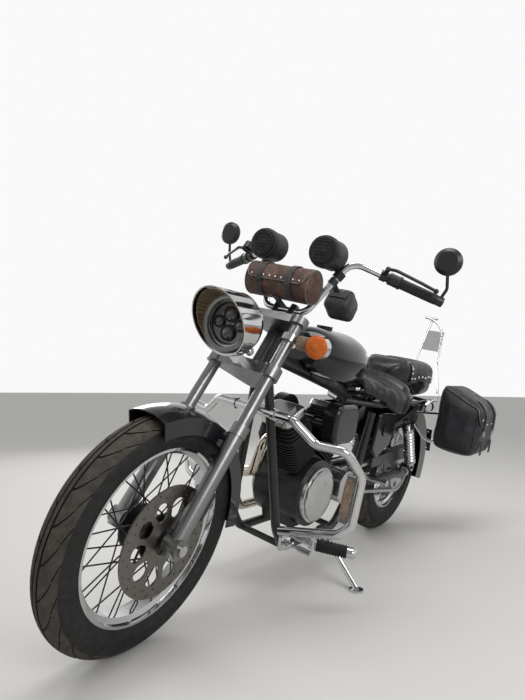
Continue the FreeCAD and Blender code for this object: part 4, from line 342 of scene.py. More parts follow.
def metal_material(name, level, low, high, dust, tint=(1.0, 1.0, 1.0), depth=0.00002, scale=14.0):
    """Bare or plated metal: its polish goes from low to high roughness."""
    made, tree, shader = new_material(name, Metallic=1.0)
    polish = use_group(tree, "Uneven polish", Scale=scale)[0]
    rough = stretch(tree, polish, 0.0, 1.0, low, high)
    bright = colour([level * share for share in tint])
    dull = colour([level * 0.82 * share for share in tint])
    base = blend_of(tree, polish, bright, dull)
    mask = dusted(tree, shader, base, rough, dust, 0.6)
    feed(shader.inputs["Metallic"], stretch(tree, mask, 0.0, 1.0, 1.0, 0.0))
    relief(tree, shader, use_group(tree, "Cast skin", Scale=600.0)[0], depth)
    return made


def tyre_material(values):
    made, tree, shader = new_material("Tyre rubber", Specular_IOR_Level=0.35)
    point = object_point(tree)
    worn = stretch(tree, noise(tree, point, 24.0, 6.0, 0.65), 0.35, 0.7)
    base = blend_of(tree, worn, grey(0.006), (0.014, 0.013, 0.013, 1.0))
    rough = stretch(tree, noise(tree, point, 60.0), 0.3, 0.7, 0.55, 0.8)
    dusted(tree, shader, base, rough, values.dust * 0.14, 0.6)
    relief(tree, shader, noise(tree, point, 900.0, 2.0), 0.00012)
    return made


def rubber_material(values):
    made, tree, shader = new_material("Moulded rubber", Specular_IOR_Level=0.35)
    point = object_point(tree)
    rough = stretch(tree, noise(tree, point, 40.0), 0.3, 0.7, 0.45, 0.7)
    dusted(tree, shader, grey(0.010), rough, values.dust * 0.4, 0.5)
    relief(tree, shader, noise(tree, point, 1400.0, 2.0), 0.00006)
    return made


def leather_material(name, base, edge, rough_low, rough_high, dust, depth=0.0006):
    """Leather with a pebbled grain, painted shade that darkens its creases, and rubbed patches."""
    made, tree, shader = new_material(name, Specular_IOR_Level=0.45)
    height, folds = use_group(tree, "Leather grain", Scale=420.0, Crease=24.0)[:2]
    point = object_point(tree)
    rubbed = stretch(tree, noise(tree, point, 18.0, 5.0, 0.6), 0.42, 0.75)
    skin = blend_of(tree, rubbed, base, edge)
    # Painted shade: the creases get a darker copy of the leather's colour, as if shadowed.
    painted_crease_shade = colour([part * 0.55 for part in base[:3]])
    skin = blend_of(tree, folds, painted_crease_shade, skin)
    rough = stretch(tree, noise(tree, point, 34.0, 4.0), 0.3, 0.7, rough_low, rough_high)
    dusted(tree, shader, skin, rough, dust, 1.2)
    relief(tree, shader, height, depth)
    return made


def lens_material(name, tint, roughness=0.08, weight=0.85, ribs=420.0):
    """Moulded lamp lens with fine ribs. Its weight says how clear it is, from 0 to 1."""
    made, tree, shader = new_material(name, Roughness=roughness, IOR=1.49, Transmission_Weight=weight)
    point = object_point(tree)
    patch = noise(tree, point, 30.0, 3.0)
    deep = colour([part * 0.7 for part in tint])
    feed(shader.inputs["Base Color"], blend_of(tree, patch, colour(tint), deep))
    wave = add_node(tree, "TexWave", {"Vector": point, "Scale": ribs, "Distortion": 0.0}).outputs["Fac"]
    relief(tree, shader, wave, 0.0002)
    return made


def dark_lens_material():
    """Near black lamp units under a clear coat."""
    made, tree, shader = new_material("Dark lamp glass", Coat_Weight=1.0, Coat_Roughness=0.02, IOR=1.5)
    point = object_point(tree)
    rings = add_node(tree, "TexVoronoi", {"Vector": point, "Scale": 90.0}).outputs["Distance"]
    base = blend_of(tree, rings, (0.004, 0.005, 0.006, 1.0), (0.03, 0.034, 0.042, 1.0))
    feed(shader.inputs["Base Color"], base)
    feed(shader.inputs["Roughness"], stretch(tree, noise(tree, point, 80.0), 0.3, 0.7, 0.05, 0.16))
    relief(tree, shader, noise(tree, point, 260.0, 1.0), 0.00005)
    return made


def tread_material():
    """The scuffed, dusty crown of a tyre."""
    made, tree, shader = new_material("Dusty tread", Specular_IOR_Level=0.25)
    point = object_point(tree)
    worn = stretch(tree, noise(tree, point, 46.0, 6.0, 0.7), 0.3, 0.7)
    base = blend_of(tree, worn, (0.030, 0.027, 0.024, 1.0), (0.075, 0.064, 0.052, 1.0))
    feed(shader.inputs["Base Color"], base)
    feed(shader.inputs["Roughness"], stretch(tree, noise(tree, point, 90.0), 0.3, 0.7, 0.7, 0.92))
    relief(tree, shader, noise(tree, point, 700.0, 3.0), 0.00025)
    return made


MATERIALS = {}


def make_materials(values):
    """Builds the shared effects and every material, by a short name."""
    for group in (dust_group, smudge_group, leather_group, cast_group):
        group()
    brown = colour(values.brown_leather)
    black = colour(values.black_leather)
    dust = values.dust
    MATERIALS.update(
        paint=paint_material(values),
        enamel=skinned_material(
            "Satin black enamel",
            0.010,
            20.0,
            (0.28, 0.5),
            dust * 0.5,
            0.5,
            700.0,
            0.00008,
            Coat_Weight=0.2,
            Coat_Roughness=0.25,
            Specular_IOR_Level=0.35,
        ),
        chrome=metal_material("Chrome plate", 0.64, 0.03, 0.12, dust * 0.3, (0.98, 0.99, 1.0)),
        silver=metal_material(
            "Satin silver fork", 0.25, 0.26, 0.38, dust * 0.3, depth=0.00005, scale=24.0
        ),
        alloy=metal_material(
            "Polished alloy castings", 0.58, 0.12, 0.30, dust * 0.5, depth=0.00008, scale=26.0
        ),
        steel=metal_material(
            "Zinc plated steel", 0.52, 0.26, 0.48, dust * 0.8, depth=0.00006, scale=40.0
        ),
        gold=metal_material("Heat tinted chrome", 0.66, 0.06, 0.18, dust * 0.4, (1.0, 0.91, 0.76)),
        disc=metal_material(
            "Browned brake disc", 0.20, 0.28, 0.46, dust * 0.8, (1.0, 0.92, 0.84), scale=60.0
        ),
        fins=skinned_material(
            "Black cast fins",
            0.010,
            30.0,
            (0.38, 0.62),
            dust * 0.5,
            0.6,
            380.0,
            0.00025,
            Specular_IOR_Level=0.35,
        ),
        tyre=tyre_material(values),
        rubber=rubber_material(values),
        brown=leather_material(
            "Worn brown leather", brown, (0.20, 0.10, 0.06, 1.0), 0.34, 0.6, dust * 0.4
        ),
        black=leather_material(
            "Black leather", black, (0.05, 0.047, 0.05, 1.0), 0.28, 0.5, dust * 0.5
        ),
        plastic=skinned_material(
            "Grained black plastic",
            0.012,
            26.0,
            (0.36, 0.55),
            dust * 0.3,
            0.6,
            1500.0,
            0.00008,
            Specular_IOR_Level=0.35,
        ),
        glass=lens_material("Headlamp glass", (0.86, 0.90, 0.92), 0.02, 1.0, 60.0),
        amber=lens_material("Amber lens", values.amber, 0.14, 0.0),
        red=lens_material("Red lens", (0.42, 0.008, 0.006), 0.1, 0.0),
        bronze=metal_material("Browned reflector", 0.56, 0.30, 0.5, dust * 0.5, (1.0, 0.78, 0.50)),
        lens=dark_lens_material(),
        tread=tread_material(),
        tan=leather_material(
            "Rubbed tan leather", (0.25, 0.18, 0.12, 1.0), (0.42, 0.34, 0.25, 1.0), 0.4, 0.7, 0.1
        ),
        glossy=leather_material(
            "Polished black leather", grey(0.010), grey(0.020), 0.12, 0.26, dust * 0.15, depth=0.0002
        ),
        bag=leather_material(
            "Navy black leather",
            (0.007, 0.008, 0.012, 1.0),
            (0.022, 0.024, 0.03, 1.0),
            0.34,
            0.56,
            dust * 0.3,
        ),
        welt=leather_material(
            "Pale piping", (0.10, 0.088, 0.075, 1.0), (0.20, 0.18, 0.155, 1.0), 0.45, 0.7, dust * 0.3
        ),
        cover=leather_material(
            "Dusty black leather", grey(0.022), (0.10, 0.095, 0.085, 1.0), 0.4, 0.62, dust * 0.9
        ),
    )


# Construction nodes by their finish

FINISHED_NODES = {
    "tyre": [
        "front_tyre", "rear_tyre",
    ],
    "chrome": [
        "front_rim", "rear_rim", "front_axle", "handlebar", "headlamp_hood", "front_indicators",
        "silencers", "rear_shocks", "sissy_bar", "bag_rails", "engine_guard", "foot_controls",
        "tail_lamp", "rear_indicators", "side_stand",
    ],
    "enamel": [
        "front_hub", "hand_controls", "mirrors", "brake_caliper", "frame", "engine_cases",
        "swingarm", "chain_guard",
    ],
    "alloy": [
        "rear_hub", "rocker_covers", "engine_covers",
    ],
    "disc": [
        "brake_disc",
    ],
    "steel": [
        "rear_sprocket", "pivot_and_axle", "chain",
    ],
    "silver": [
        "fork_legs", "fork_clamps",
    ],
    "rubber": [
        "grips",
    ],
    "glass": [
        "headlamp_glass",
    ],
    "plastic": [
        "speaker_pods",
    ],
    "paint": [
        "front_fender", "intake", "fuel_tank", "rear_fender", "side_covers",
    ],
    "brown": [
        "tool_roll",
    ],
    "black": [
        "bar_pouch", "rider_seat", "pillion_seat", "left_saddlebag", "right_saddlebag",
    ],
    "fins": [
        "cylinders",
    ],
    "gold": [
        "exhaust_pipes",
    ],
}


# Modelling by hand


def put_down():
    """Leaves edit mode with nothing selected."""
    if bpy.context.object and bpy.context.object.mode != "OBJECT":
        bpy.ops.object.mode_set(mode="OBJECT")
    bpy.ops.object.select_all(action="DESELECT")


def pick_up(item):
    """Selects one object alone."""
    put_down()
    item.select_set(True)
    bpy.context.view_layer.objects.active = item


SMOOTH_ANGLE = math.radians(35)


def smoothed(item):
    pick_up(item)
    bpy.ops.object.shade_smooth_by_angle(angle=SMOOTH_ANGLE)
    put_down()


def dress(item, finish):
    """Gives an object one of the materials."""
    item.data.materials.clear()
    item.data.materials.append(MATERIALS[finish])


def millimetres(x, y, z):
    return Vector((x, y, z)) * 0.001


def open_up(item):
    """Edit mode on one object, with all of it selected."""
    pick_up(item)
    bpy.ops.object.mode_set(mode="EDIT")
    bpy.ops.mesh.select_all(action="SELECT")


MERGE_REACH = 0.00002


def close_up():
    """Merges doubles, turns the faces outwards and leaves edit mode."""
    bpy.ops.mesh.select_all(action="SELECT")
    bpy.ops.mesh.remove_doubles(threshold=MERGE_REACH)
    bpy.ops.mesh.normals_make_consistent(inside=False)
    put_down()


def finish_modifiers(item):
    pick_up(item)
    for modifier in list(item.modifiers):
        bpy.ops.object.modifier_apply(modifier=modifier.name)


def set_in(item, at):
    """Moves a piece to a frame, in its mesh."""
    item.matrix_world = at
    pick_up(item)
    bpy.ops.object.transform_apply(location=True, rotation=True, scale=True)
    return item


def settle(item, name, body, finish, at=None):
    """Puts a piece in its place, in its mesh, and gives it its name, finish and body."""
    if at is not None:
        item.matrix_world = at @ item.matrix_world
    pick_up(item)
    bpy.ops.object.transform_apply(location=True, rotation=True, scale=True)
    item.name = name
    item.data.name = name
    dress(item, finish)
    smoothed(item)
    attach(item, body)
    return item


def traced(points):
    """Draws a run of edges by extruding one vertex from point to point. Stays in edit mode."""
    put_down()
    bpy.ops.mesh.primitive_plane_add(size=0.002)
    line = bpy.context.object
    open_up(line)
    bpy.ops.mesh.merge(type="CENTER")
    bpy.ops.transform.translate(value=points[0])
    for before, after in zip(points, points[1:]):
        step = Vector(after) - Vector(before)
        bpy.ops.mesh.extrude_vertices_move(TRANSFORM_OT_translate={"value": step})
    return line


def spun(points, axis=(1, 0, 0), steps=48):
    """Turns a traced outline all the way round an axis through the origin."""
    item = traced(points)
    bpy.ops.mesh.select_all(action="SELECT")
    bpy.ops.mesh.spin(steps=steps, angle=math.tau, center=(0, 0, 0), axis=axis)
    close_up()
    return item


def lathe(pairs, steps=48):
    """Turns (along, radius) pairs in millimetres about X."""
    return spun([millimetres(along, 0, radius) for along, radius in pairs], (1, 0, 0), steps)


def sheet_over(place, columns, rows):
    """A grid whose points are put where place says, from -1 to 1 both ways."""
    put_down()
    bpy.ops.mesh.primitive_grid_add(x_subdivisions=columns, y_subdivisions=rows, size=2)
    item = bpy.context.object
    for vertex in item.data.vertices:
        vertex.co = place(vertex.co.x, vertex.co.y) * 0.001
    return item


def thickened(item, thickness, offset=-1.0):
    """Gives a sheet its thickness, in millimetres."""
    solid = item.modifiers.new("Solidify", "SOLIDIFY")
    solid.thickness = thickness * 0.001
    solid.offset = offset
    finish_modifiers(item)
    open_up(item)
    close_up()
    return item


def lozenge(place, cuts, power):
    """A closed cushion form: a subdivided cube drawn towards a sphere, its points put where place says."""
    put_down()
    bpy.ops.mesh.primitive_cube_add(size=2)
    item = bpy.context.object
    open_up(item)
    bpy.ops.mesh.subdivide(number_cuts=cuts)
    put_down()
    for vertex in item.data.vertices:
        x, y, z = vertex.co
        reach = (abs(x) ** power + abs(y) ** power + abs(z) ** power) ** (1 / power)
        vertex.co = place(x / reach, y / reach, z / reach) * 0.001
    return item


def soft_tube(points, radius, sides=3, closed=False):
    """A curve through a few given points, with a round section."""
    put_down()
    bpy.ops.curve.primitive_nurbs_path_add()
    item = bpy.context.object
    item.name = "Tube"
    item.data.splines.clear()
    spline = item.data.splines.new("NURBS")
    spline.points.add(len(points) - 1)
    for target, point in zip(spline.points, points):
        target.co = (*point, 1.0)
    spline.use_cyclic_u = closed
    spline.order_u = 3
    spline.use_endpoint_u = not closed
    item.data.bevel_depth = radius
    item.data.bevel_resolution = sides
    item.data.use_fill_caps = not closed
    return item


def meshed(item):
    pick_up(item)
    bpy.ops.object.convert(target="MESH")
    return bpy.context.object


def merged(items):
    """Joins pieces into the first of them."""
    put_down()
    for item in items:
        item.select_set(True)
    bpy.context.view_layer.objects.active = items[0]
    bpy.ops.object.join()
    return items[0]


def copies(item, places):
    """One copy of a small model at each place, each with its own mesh, joined."""
    made = []
    for place in places:
        twin = item.copy()
        twin.data = item.data.copy()
        bpy.context.collection.objects.link(twin)
        twin.data.transform(place)
        made.append(twin)
    bpy.data.objects.remove(item)
    return merged(made)


SWELL_FRAMES = 20


def puffed(item, voxel, pressure, cap):
    """Swells a closed form with a short cloth simulation, no point moving further than the cap."""
    pick_up(item)
    remesh = item.modifiers.new("Remesh", "REMESH")
    remesh.mode = "VOXEL"
    remesh.voxel_size = voxel * 0.001
    bpy.ops.object.modifier_apply(modifier=remesh.name)
    before = [vertex.co.copy() for vertex in item.data.vertices]
    cloth = item.modifiers.new("Cloth", "CLOTH")
    cloth.settings.use_pressure = True
    cloth.settings.uniform_pressure_force = pressure
    cloth.settings.effector_weights.gravity = 0
    cloth.settings.quality = 4
    scene = bpy.context.scene
    for moment in range(1, SWELL_FRAMES + 1):
        scene.frame_set(moment)
    bpy.ops.object.modifier_apply(modifier=cloth.name)
    scene.frame_set(1)
    for vertex, start in zip(item.data.vertices, before):
        move = vertex.co - start
        if move.length > cap * 0.001:
            vertex.co = start + move.normalized() * (cap * 0.001)
    soften = item.modifiers.new("Smooth", "SMOOTH")
    soften.factor = 0.5
    soften.iterations = 6
    fine = item.modifiers.new("Subdivision", "SUBSURF")
    fine.levels = 1
    fine.render_levels = 1
    finish_modifiers(item)
    return item


def on_skin(item, point, lift=0.0):
    """The nearest point of a piece's surface, raised by lift metres, and the way out there."""
    bpy.context.view_layer.update()
    place, out = item.closest_point_on_mesh(Vector(point))[1:3]
    return place + out * lift, out


def studs_on(item, points, radius=5.0, height=3.2):
    """Low domed studs on a surface, one near each point."""
    profile = [(height, 0), (height * 0.82, radius * 0.5), (height * 0.4, radius * 0.86)]
    profile += [(0, radius), (-1.0, radius)]
    dome = lathe(profile, 10)
    places = []
    for point in points:
        place, out = on_skin(item, point, 0.0003)
        turn = out.to_track_quat("X", "Z").to_matrix().to_4x4()
        places.append(Matrix.Translation(place) @ turn)
    return copies(dome, places)


def piping_on(item, points, radius=0.0022, closed=False):
    """Welt piping that lies on a surface along a line of points."""
    line = [on_skin(item, point, radius * 0.4)[0] for point in points]
    return meshed(soft_tube(line, radius, closed=closed))


def draped(item, under, lift):
    """Draws a sheet down on another piece, lift millimetres above it."""
    wrap = item.modifiers.new("Shrinkwrap", "SHRINKWRAP")
    wrap.target = under
    wrap.wrap_method = "NEAREST_SURFACEPOINT"
    wrap.wrap_mode = "OUTSIDE_SURFACE"
    wrap.offset = lift * 0.001
    finish_modifiers(item)
    return item


def laid(item, under, lift, thickness):
    """Drapes a sheet and thickens it. Returns the area that it had in between."""
    draped(item, under, lift)
    area = sum(face.area for face in item.data.polygons)
    thickened(item, thickness, 0.0)
    return area


def three_sides(place):
    """Points a little inside a flap's two long edges and its end."""
    edge = [place(-0.985, step / 12 - 1) for step in range(0, 24)]
    edge += [place(step / 10, 0.985) for step in range(-9, 10)]
    edge += [place(0.985, 1 - step / 12) for step in range(1, 25)]
    return edge


def between(stations, x):
    """Smoothly read a value at x from (x, value) stations."""
    if x <= stations[0][0]:
        return stations[0][1]
    for (low, first), (high, second) in zip(stations, stations[1:]):
        if x <= high:
            share = (x - low) / (high - low)
            share = share * share * (3 - 2 * share)
            return first + (second - first) * share
    return stations[-1][1]


# Operators


class CRUISER_OT_finishes(bpy.types.Operator):
    """Gives every construction node its material"""

    bl_idname = "cruiser.finishes"
    bl_label = "Finishes"

    def execute(self, context):
        make_materials(context.scene.cruiser_finish)
        for finish, names in FINISHED_NODES.items():
            for name in names:
                dress(NODES[name], finish)
        return {"FINISHED"}


def tyre_profile(radius, crown, bead, lip):
    """(side, radius) pairs from bead to bead: wall, rim guard, shoulder and crown."""
    middle = radius - crown
    walls = [(lip + 1, bead + 1), (lip + 6, bead + 4), (lip + 9, bead + 13), (crown * 0.86, bead + 20)]
    walls.append((crown * 0.93, bead + 24))
    crowns = []
    for step in range(15):
        turn = math.radians(76 - step * 76 / 14)
        crowns.append((crown * math.sin(turn), middle + crown * math.cos(turn)))
    left = walls + crowns
    return left + [(-side, height) for side, height in reversed(left[:-1])]


GROOVE_START = 0.15
GROOVE_SWEEP = 0.34


def groove_sweep(slope):
    """How far round the tyre a shoulder groove has turned at this slope, in radians."""
    return max(0.0, min(1.0, slope - GROOVE_START)) ** 1.6 * GROOVE_SWEEP


def tyre_piece(radius, crown, bead, lip, steps, pitch):
    """A tyre with two grooves round its crown and curved ones that sweep over each shoulder."""
    pairs = tyre_profile(radius, crown, bead, lip)
    inner = [(-lip + 1, bead + 1), (-lip + 2, bead + 16), (0, bead + 22)]
    inner += [(lip - 2, bead + 16), (lip - 1, bead + 1)]
    ring = [millimetres(0, side, height) for side, height in pairs + inner]
    tyre = spun(ring + ring[:1], (0, 1, 0), steps)
    middle = (radius - crown) * 0.001
    for vertex in tyre.data.vertices:
        x, y, z = vertex.co
        height = math.hypot(x, z)
        slope = math.atan2(abs(y), height - middle)
        sweep = groove_sweep(slope) if height > middle else 0.0
        around = math.atan2(z, x) + sweep
        vertex.co = (height * math.cos(around), y, height * math.sin(around))
    open_up(tyre)
    bpy.ops.mesh.select_all(action="DESELECT")
    put_down()
    tyre.data.materials.append(MATERIALS["tread"])
    tyre.data.materials.append(MATERIALS["tyre"])
    for face in tyre.data.polygons:
        x, y, z = face.center
        height = math.hypot(x, z)
        slope = math.degrees(math.atan2(abs(y), height - middle))
        flat = slope < 62 and height > middle
        sweep = groove_sweep(math.radians(slope))
        column = int(math.floor(((math.atan2(z, x) - sweep) % math.tau) / math.tau * steps + 0.5))
        shift = 0 if y > 0 else pitch // 2
        across = flat and 13 < slope < 60 and (column + shift) % pitch == 0
        around = flat and 6 < slope < 11
        face.select = across or around
        face.material_index = 0 if flat and not face.select else 1
    pick_up(tyre)
    bpy.ops.object.mode_set(mode="EDIT")
    bpy.ops.mesh.inset(thickness=0.0007, depth=-0.0042)
    put_down()
    return tyre


def keep_materials(item, name, body, finish, at):
    """Settles a piece that has more than one material."""
    kept = list(item.data.materials)
    numbers = [face.material_index for face in item.data.polygons]
    settle(item, name, body, finish, at)
    item.data.materials.clear()
    for material in kept:
        item.data.materials.append(material)
    for face, number in zip(item.data.polygons, numbers):
        face.material_index = number
    return item


class CRUISER_OT_tyres(bpy.types.Operator):
    """Adds both tyres with their tread grooves"""

    bl_idname = "cruiser.tyres"
    bl_label = "Tyres"

    def execute(self, context):
        front = tyre_piece(315, 50, 229, 31, 288, 12)
        keep_materials(front, "front_tyre_treaded", "front_wheel", "tyre", FORK)
        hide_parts("front_tyre")
        rear = tyre_piece(307, 64, 191, 41, 240, 12)
        keep_materials(rear, "rear_tyre_treaded", "rear_wheel", "tyre", REAR)
        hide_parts("rear_tyre")
        return {"FINISHED"}


LINING_RADIUS = 0.0858
LINING_SIDES = 168


def hood_lining():
    """The fine ribbed lining inside the hood, cut on the hood's slant."""
    put_down()
    bpy.ops.mesh.primitive_cylinder_add(
        vertices=LINING_SIDES,
        radius=LINING_RADIUS,
        depth=0.100,
        end_fill_type="NOTHING",
    )
    lining = bpy.context.object
    for vertex in lining.data.vertices:
        around = round(math.atan2(vertex.co.y, vertex.co.x) / math.tau * LINING_SIDES)
        pleat = 0.982 if around % 4 < 2 else 1.0
        low = 0.90 if vertex.co.z < 0 else 1.0
        vertex.co = (vertex.co.x * pleat * low, vertex.co.y * pleat * low, vertex.co.z + 0.048)
    set_in(lining, Z_ALONG_X)
    open_up(lining)
    peak = Vector((0.082, 0, 0.090))
    foot = Vector((-0.014, 0, -0.090))
    out = Vector((0, 1, 0)).cross(peak - foot).normalized()
    bpy.ops.mesh.bisect(plane_co=peak, plane_no=out, clear_outer=True)
    put_down()
    solid = lining.modifiers.new("Solidify", "SOLIDIFY")
    solid.thickness = 0.0008
    finish_modifiers(lining)
    open_up(lining)
    close_up()
    return lining


class CRUISER_OT_headlamp(bpy.types.Operator):
    """Adds the headlamp's ribbed lining, its ring, its lens units and the bolt below it"""

    bl_idname = "cruiser.headlamp"
    bl_label = "Headlamp"

    def execute(self, context):
        settle(hood_lining(), "hood_lining", "steering", "bronze", LAMP)
        outline = [(-8, 85), (2, 83), (6, 79), (7, 73), (3, 66), (-4, 63.2), (-10, 63), (-10, 85)]
        ring = lathe(outline + outline[:1], 72)
        settle(ring, "headlamp_ring", "steering", "silver", LAMP)
        plate = [(-21, 0), (-21, 61), (-5, 61), (-5, 58), (-12, 55), (-15, 40), (-15, 0)]
        back = lathe(plate, 64)
        settle(back, "lens_backing", "steering", "lens", LAMP)
        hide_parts("headlamp_glass")
        units = []
        for y, z, radius in ((0, 26, 20), (0, -26, 20), (36, 0, 15), (-36, 0, 15)):
            cup = [(-14, radius + 4), (-8, radius + 3), (-8, radius + 0.6), (-14, radius - 1)]
            cup += cup[:1]
            bezel = lathe(cup, 36)
            bezel.data.transform(Matrix.Translation(millimetres(0, y, z)))
            dome = [(radius * 0.55 - 12, 0)]
            for step in range(1, 8):
                turn = step * math.pi / 14
                dome.append((radius * 0.55 * math.cos(turn) - 12, radius * math.sin(turn)))
            glass = lathe(dome + [(-15, radius)], 36)
            glass.data.transform(Matrix.Translation(millimetres(0, y, z)))
            units.append((bezel, glass))
        settle(merged([pair[0] for pair in units]), "lens_bezels", "steering", "enamel", LAMP)
        settle(merged([pair[1] for pair in units]), "lens_units", "steering", "lens", LAMP)
        outline = [(-4, 0), (-4, 12), (2, 13), (4, 10), (10, 10), (12, 8.5), (12, 4.5), (6, 4), (6, 0)]
        nut = lathe(outline, 24)
        at = FORK @ Matrix.Translation(millimetres(38, 22, 552)) @ Matrix.Rotation(RAKE, 4, "Y")
        settle(nut, "lamp_bolt", "steering", "chrome", at)
        return {"FINISHED"}


def facing_out(place, ahead):
    """A frame with X along the given way, in the fork's frame."""
    turn = Vector(ahead).to_track_quat("X", "Z").to_matrix().to_4x4()
    return FORK @ Matrix.Translation(place) @ turn


LEVEL_AHEAD = Vector((0.848, 0, -0.53))
INDICATOR_HEIGHT = 640


TAIL_HEIGHT = 0.566
FENDER_RADIUS = 0.336


class CRUISER_OT_indicators(bpy.types.Operator):
    """Adds the amber and red lenses and the wound bands on the front stems"""

    bl_idname = "cruiser.indicators"
    bl_label = "Indicator lenses"

    def execute(self, context):
        for side, label in SIDES:
            lamp_at = millimetres(0, side * 200, INDICATOR_HEIGHT) + LEVEL_AHEAD * 0.022
            face = [(-4, 31), (2, 34), (6, 33.2), (10, 28), (13, 16), (13.6, 8), (15, 6), (15, 0)]
            lens = lathe([(-4, 0)] + face, 40)
            settle(lens, f"{label}_front_lens", "steering", "amber", facing_out(lamp_at, LEVEL_AHEAD))
            coils = [(0, 8)]
            for turn in range(6):
                start = turn * 6.4
                coils += [(start, 16.2), (start + 1.4, 20.0), (start + 3.2, 21.2), (start + 5.0, 20.0)]
            coils += [(38.4, 16.2), (38.4, 8), (0, 8)]
            band = lathe(coils, 32)
            at = millimetres(0, side * 129, INDICATOR_HEIGHT)
            settle(band, f"{label}_stem_band", "steering", "tan", facing_out(at, (0, side, 0)))
            rear = lathe([(24, 0), (24, 25), (30, 26), (35, 21), (38, 10), (39, 0)], 32)
            back_at = BIKE @ Matrix.Translation(millimetres(58, side * 168, INDICATOR_HEIGHT))
            flip = Matrix.Rotation(math.pi, 4, "Z")
            settle(rear, f"{label}_rear_lens", "chassis", "amber", back_at @ flip)
        back = -math.sqrt(FENDER_RADIUS ** 2 - (TAIL_HEIGHT - REAR_RADIUS) ** 2)
        bulb = lathe([(60, 0), (60, 30), (74, 32), (88, 28), (97, 16), (100, 0)], 40)
        at = BIKE @ Matrix.Translation(Vector((back, 0, TAIL_HEIGHT))) @ Matrix.Rotation(math.pi, 4, "Z")
        settle(bulb, "tail_lens", "chassis", "red", at)
        return {"FINISHED"}


class CRUISER_OT_pods(bpy.types.Operator):
    """Adds the collars, cones, grilles and backs of the two speaker pods"""

    bl_idname = "cruiser.pods"
    bl_label = "Speaker pods"

    def execute(self, context):
        for side, label in SIDES:
            centre = millimetres(56, side * 108, 932)
            at = facing_out(centre, LEVEL_AHEAD)
            collar = [(20, 47.4), (20, 49.4), (36, 49.6), (44, 47), (47, 42), (45.6, 38), (45, 47)]
            collar += collar[:1]
            settle(lathe(collar, 56), f"{label}_pod_collar", "steering", "plastic", at)
            cone = [(45.2, 0), (52, 0), (52.6, 5), (50, 10), (46.6, 13), (46.4, 31)]
            cone += [(49.4, 34), (49.4, 37), (45.2, 39)]
            settle(lathe(cone + [(45.2, 0)], 56), f"{label}_pod_cone", "steering", "rubber", at)
            bars = []
            for row in range(-3, 4):
                reach = math.sqrt(36 ** 2 - (row * 10) ** 2) * 0.001
                ends = [Vector((0.0535, -reach, row * 0.010)), Vector((0.0545, 0, row * 0.010))]
                ends.append(Vector((0.0535, reach, row * 0.010)))
                bars.append(meshed(soft_tube(ends, 0.0008, sides=2)))
            settle(merged(bars), f"{label}_pod_grille", "steering", "enamel", at)
            rear = [(-45, 0), (-45, 34), (-47, 36), (-49, 33), (-50, 20), (-48, 8), (-48, 0), (-45, 0)]
            settle(lathe(rear, 48), f"{label}_pod_back", "steering", "plastic", at)
        return {"FINISHED"}


GUARD_UPPER = Vector((1010, 338, 492)) * 0.001
GUARD_LOWER = Vector((1020, 338, 345)) * 0.001


class CRUISER_OT_guard_trim(bpy.types.Operator):
    """Adds the leather pads inside the engine guard's uprights and its clamp knobs"""

    bl_idname = "cruiser.guard_trim"
    bl_label = "Guard trim"

    def execute(self, context):
        for side, label in SIDES:
            middle = (GUARD_UPPER + GUARD_LOWER) / 2
            centre = Vector((middle.x + 0.004, side * 0.307, middle.z))
            pad = lozenge(lambda x, y, z: Vector((x * 5.5, y * 15, z * 62)), 5, 4)
            soft = pad.modifiers.new("Subdivision", "SUBSURF")
            soft.levels = 2
            soft.render_levels = 2
            finish_modifiers(pad)
            lean = Matrix.Rotation(math.radians(-3.9), 4, "Y")
            place = BIKE @ Matrix.Translation(centre) @ lean
            settle(pad, f"{label}_guard_pad", "chassis", "tan", place)
            knob = lathe([(-4, 0), (-4, 9), (3, 10.5), (6, 9), (8, 5), (8, 0)], 20)
            at = BIKE @ Matrix.Translation(Vector((1.014, side * 0.338, 0.502)))
            settle(knob, f"{label}_guard_knob", "chassis", "chrome", at)
        return {"FINISHED"}


class CRUISER_OT_foot_rubbers(bpy.types.Operator):
    """Adds the ribbed rubbers of the rider's footpegs"""

    bl_idname = "cruiser.foot_rubbers"
    bl_label = "Foot rubbers"

    def execute(self, context):
        for side, label in SIDES:
            out = Vector((-0.36, side * 0.932, 0.05)).normalized()
            start = millimetres(993, side * 214, 236) + out * 0.010
            profile = [(0, 15)]
            for rib in range(11):
                at = rib * 8.6
                profile += [(at, 17.4), (at + 1.2, 20.2), (at + 5.0, 20.2), (at + 6.4, 17.4)]
            profile += [(96, 17.4), (96, 15), (0, 15)]
            sleeve = lathe(profile, 28)
            for vertex in sleeve.data.vertices:
                vertex.co.z = max(vertex.co.z, -0.0172)
            turn = out.to_track_quat("X", "Z").to_matrix().to_4x4()
            place = BIKE @ Matrix.Translation(start) @ turn
            settle(sleeve, f"{label}_peg_rubber", "chassis", "rubber", place)
        return {"FINISHED"}


SEAT_HALF = [(120, 108), (200, 138), (262, 151), (300, 156), (345, 157)]
SEAT_HALF += [(385, 148), (430, 120), (480, 86), (518, 60)]
SEAT_TOP = [(120, 698), (240, 701), (264, 708), (284, 752), (300, 750)]
SEAT_TOP += [(335, 729), (385, 723), (440, 734), (518, 748)]
SEAT_ARCH = 32.0
SEAT_EDGE = [(120, 662), (236, 662), (268, 626), (310, 614), (360, 614), (400, 628), (432, 660), (518, 684)]


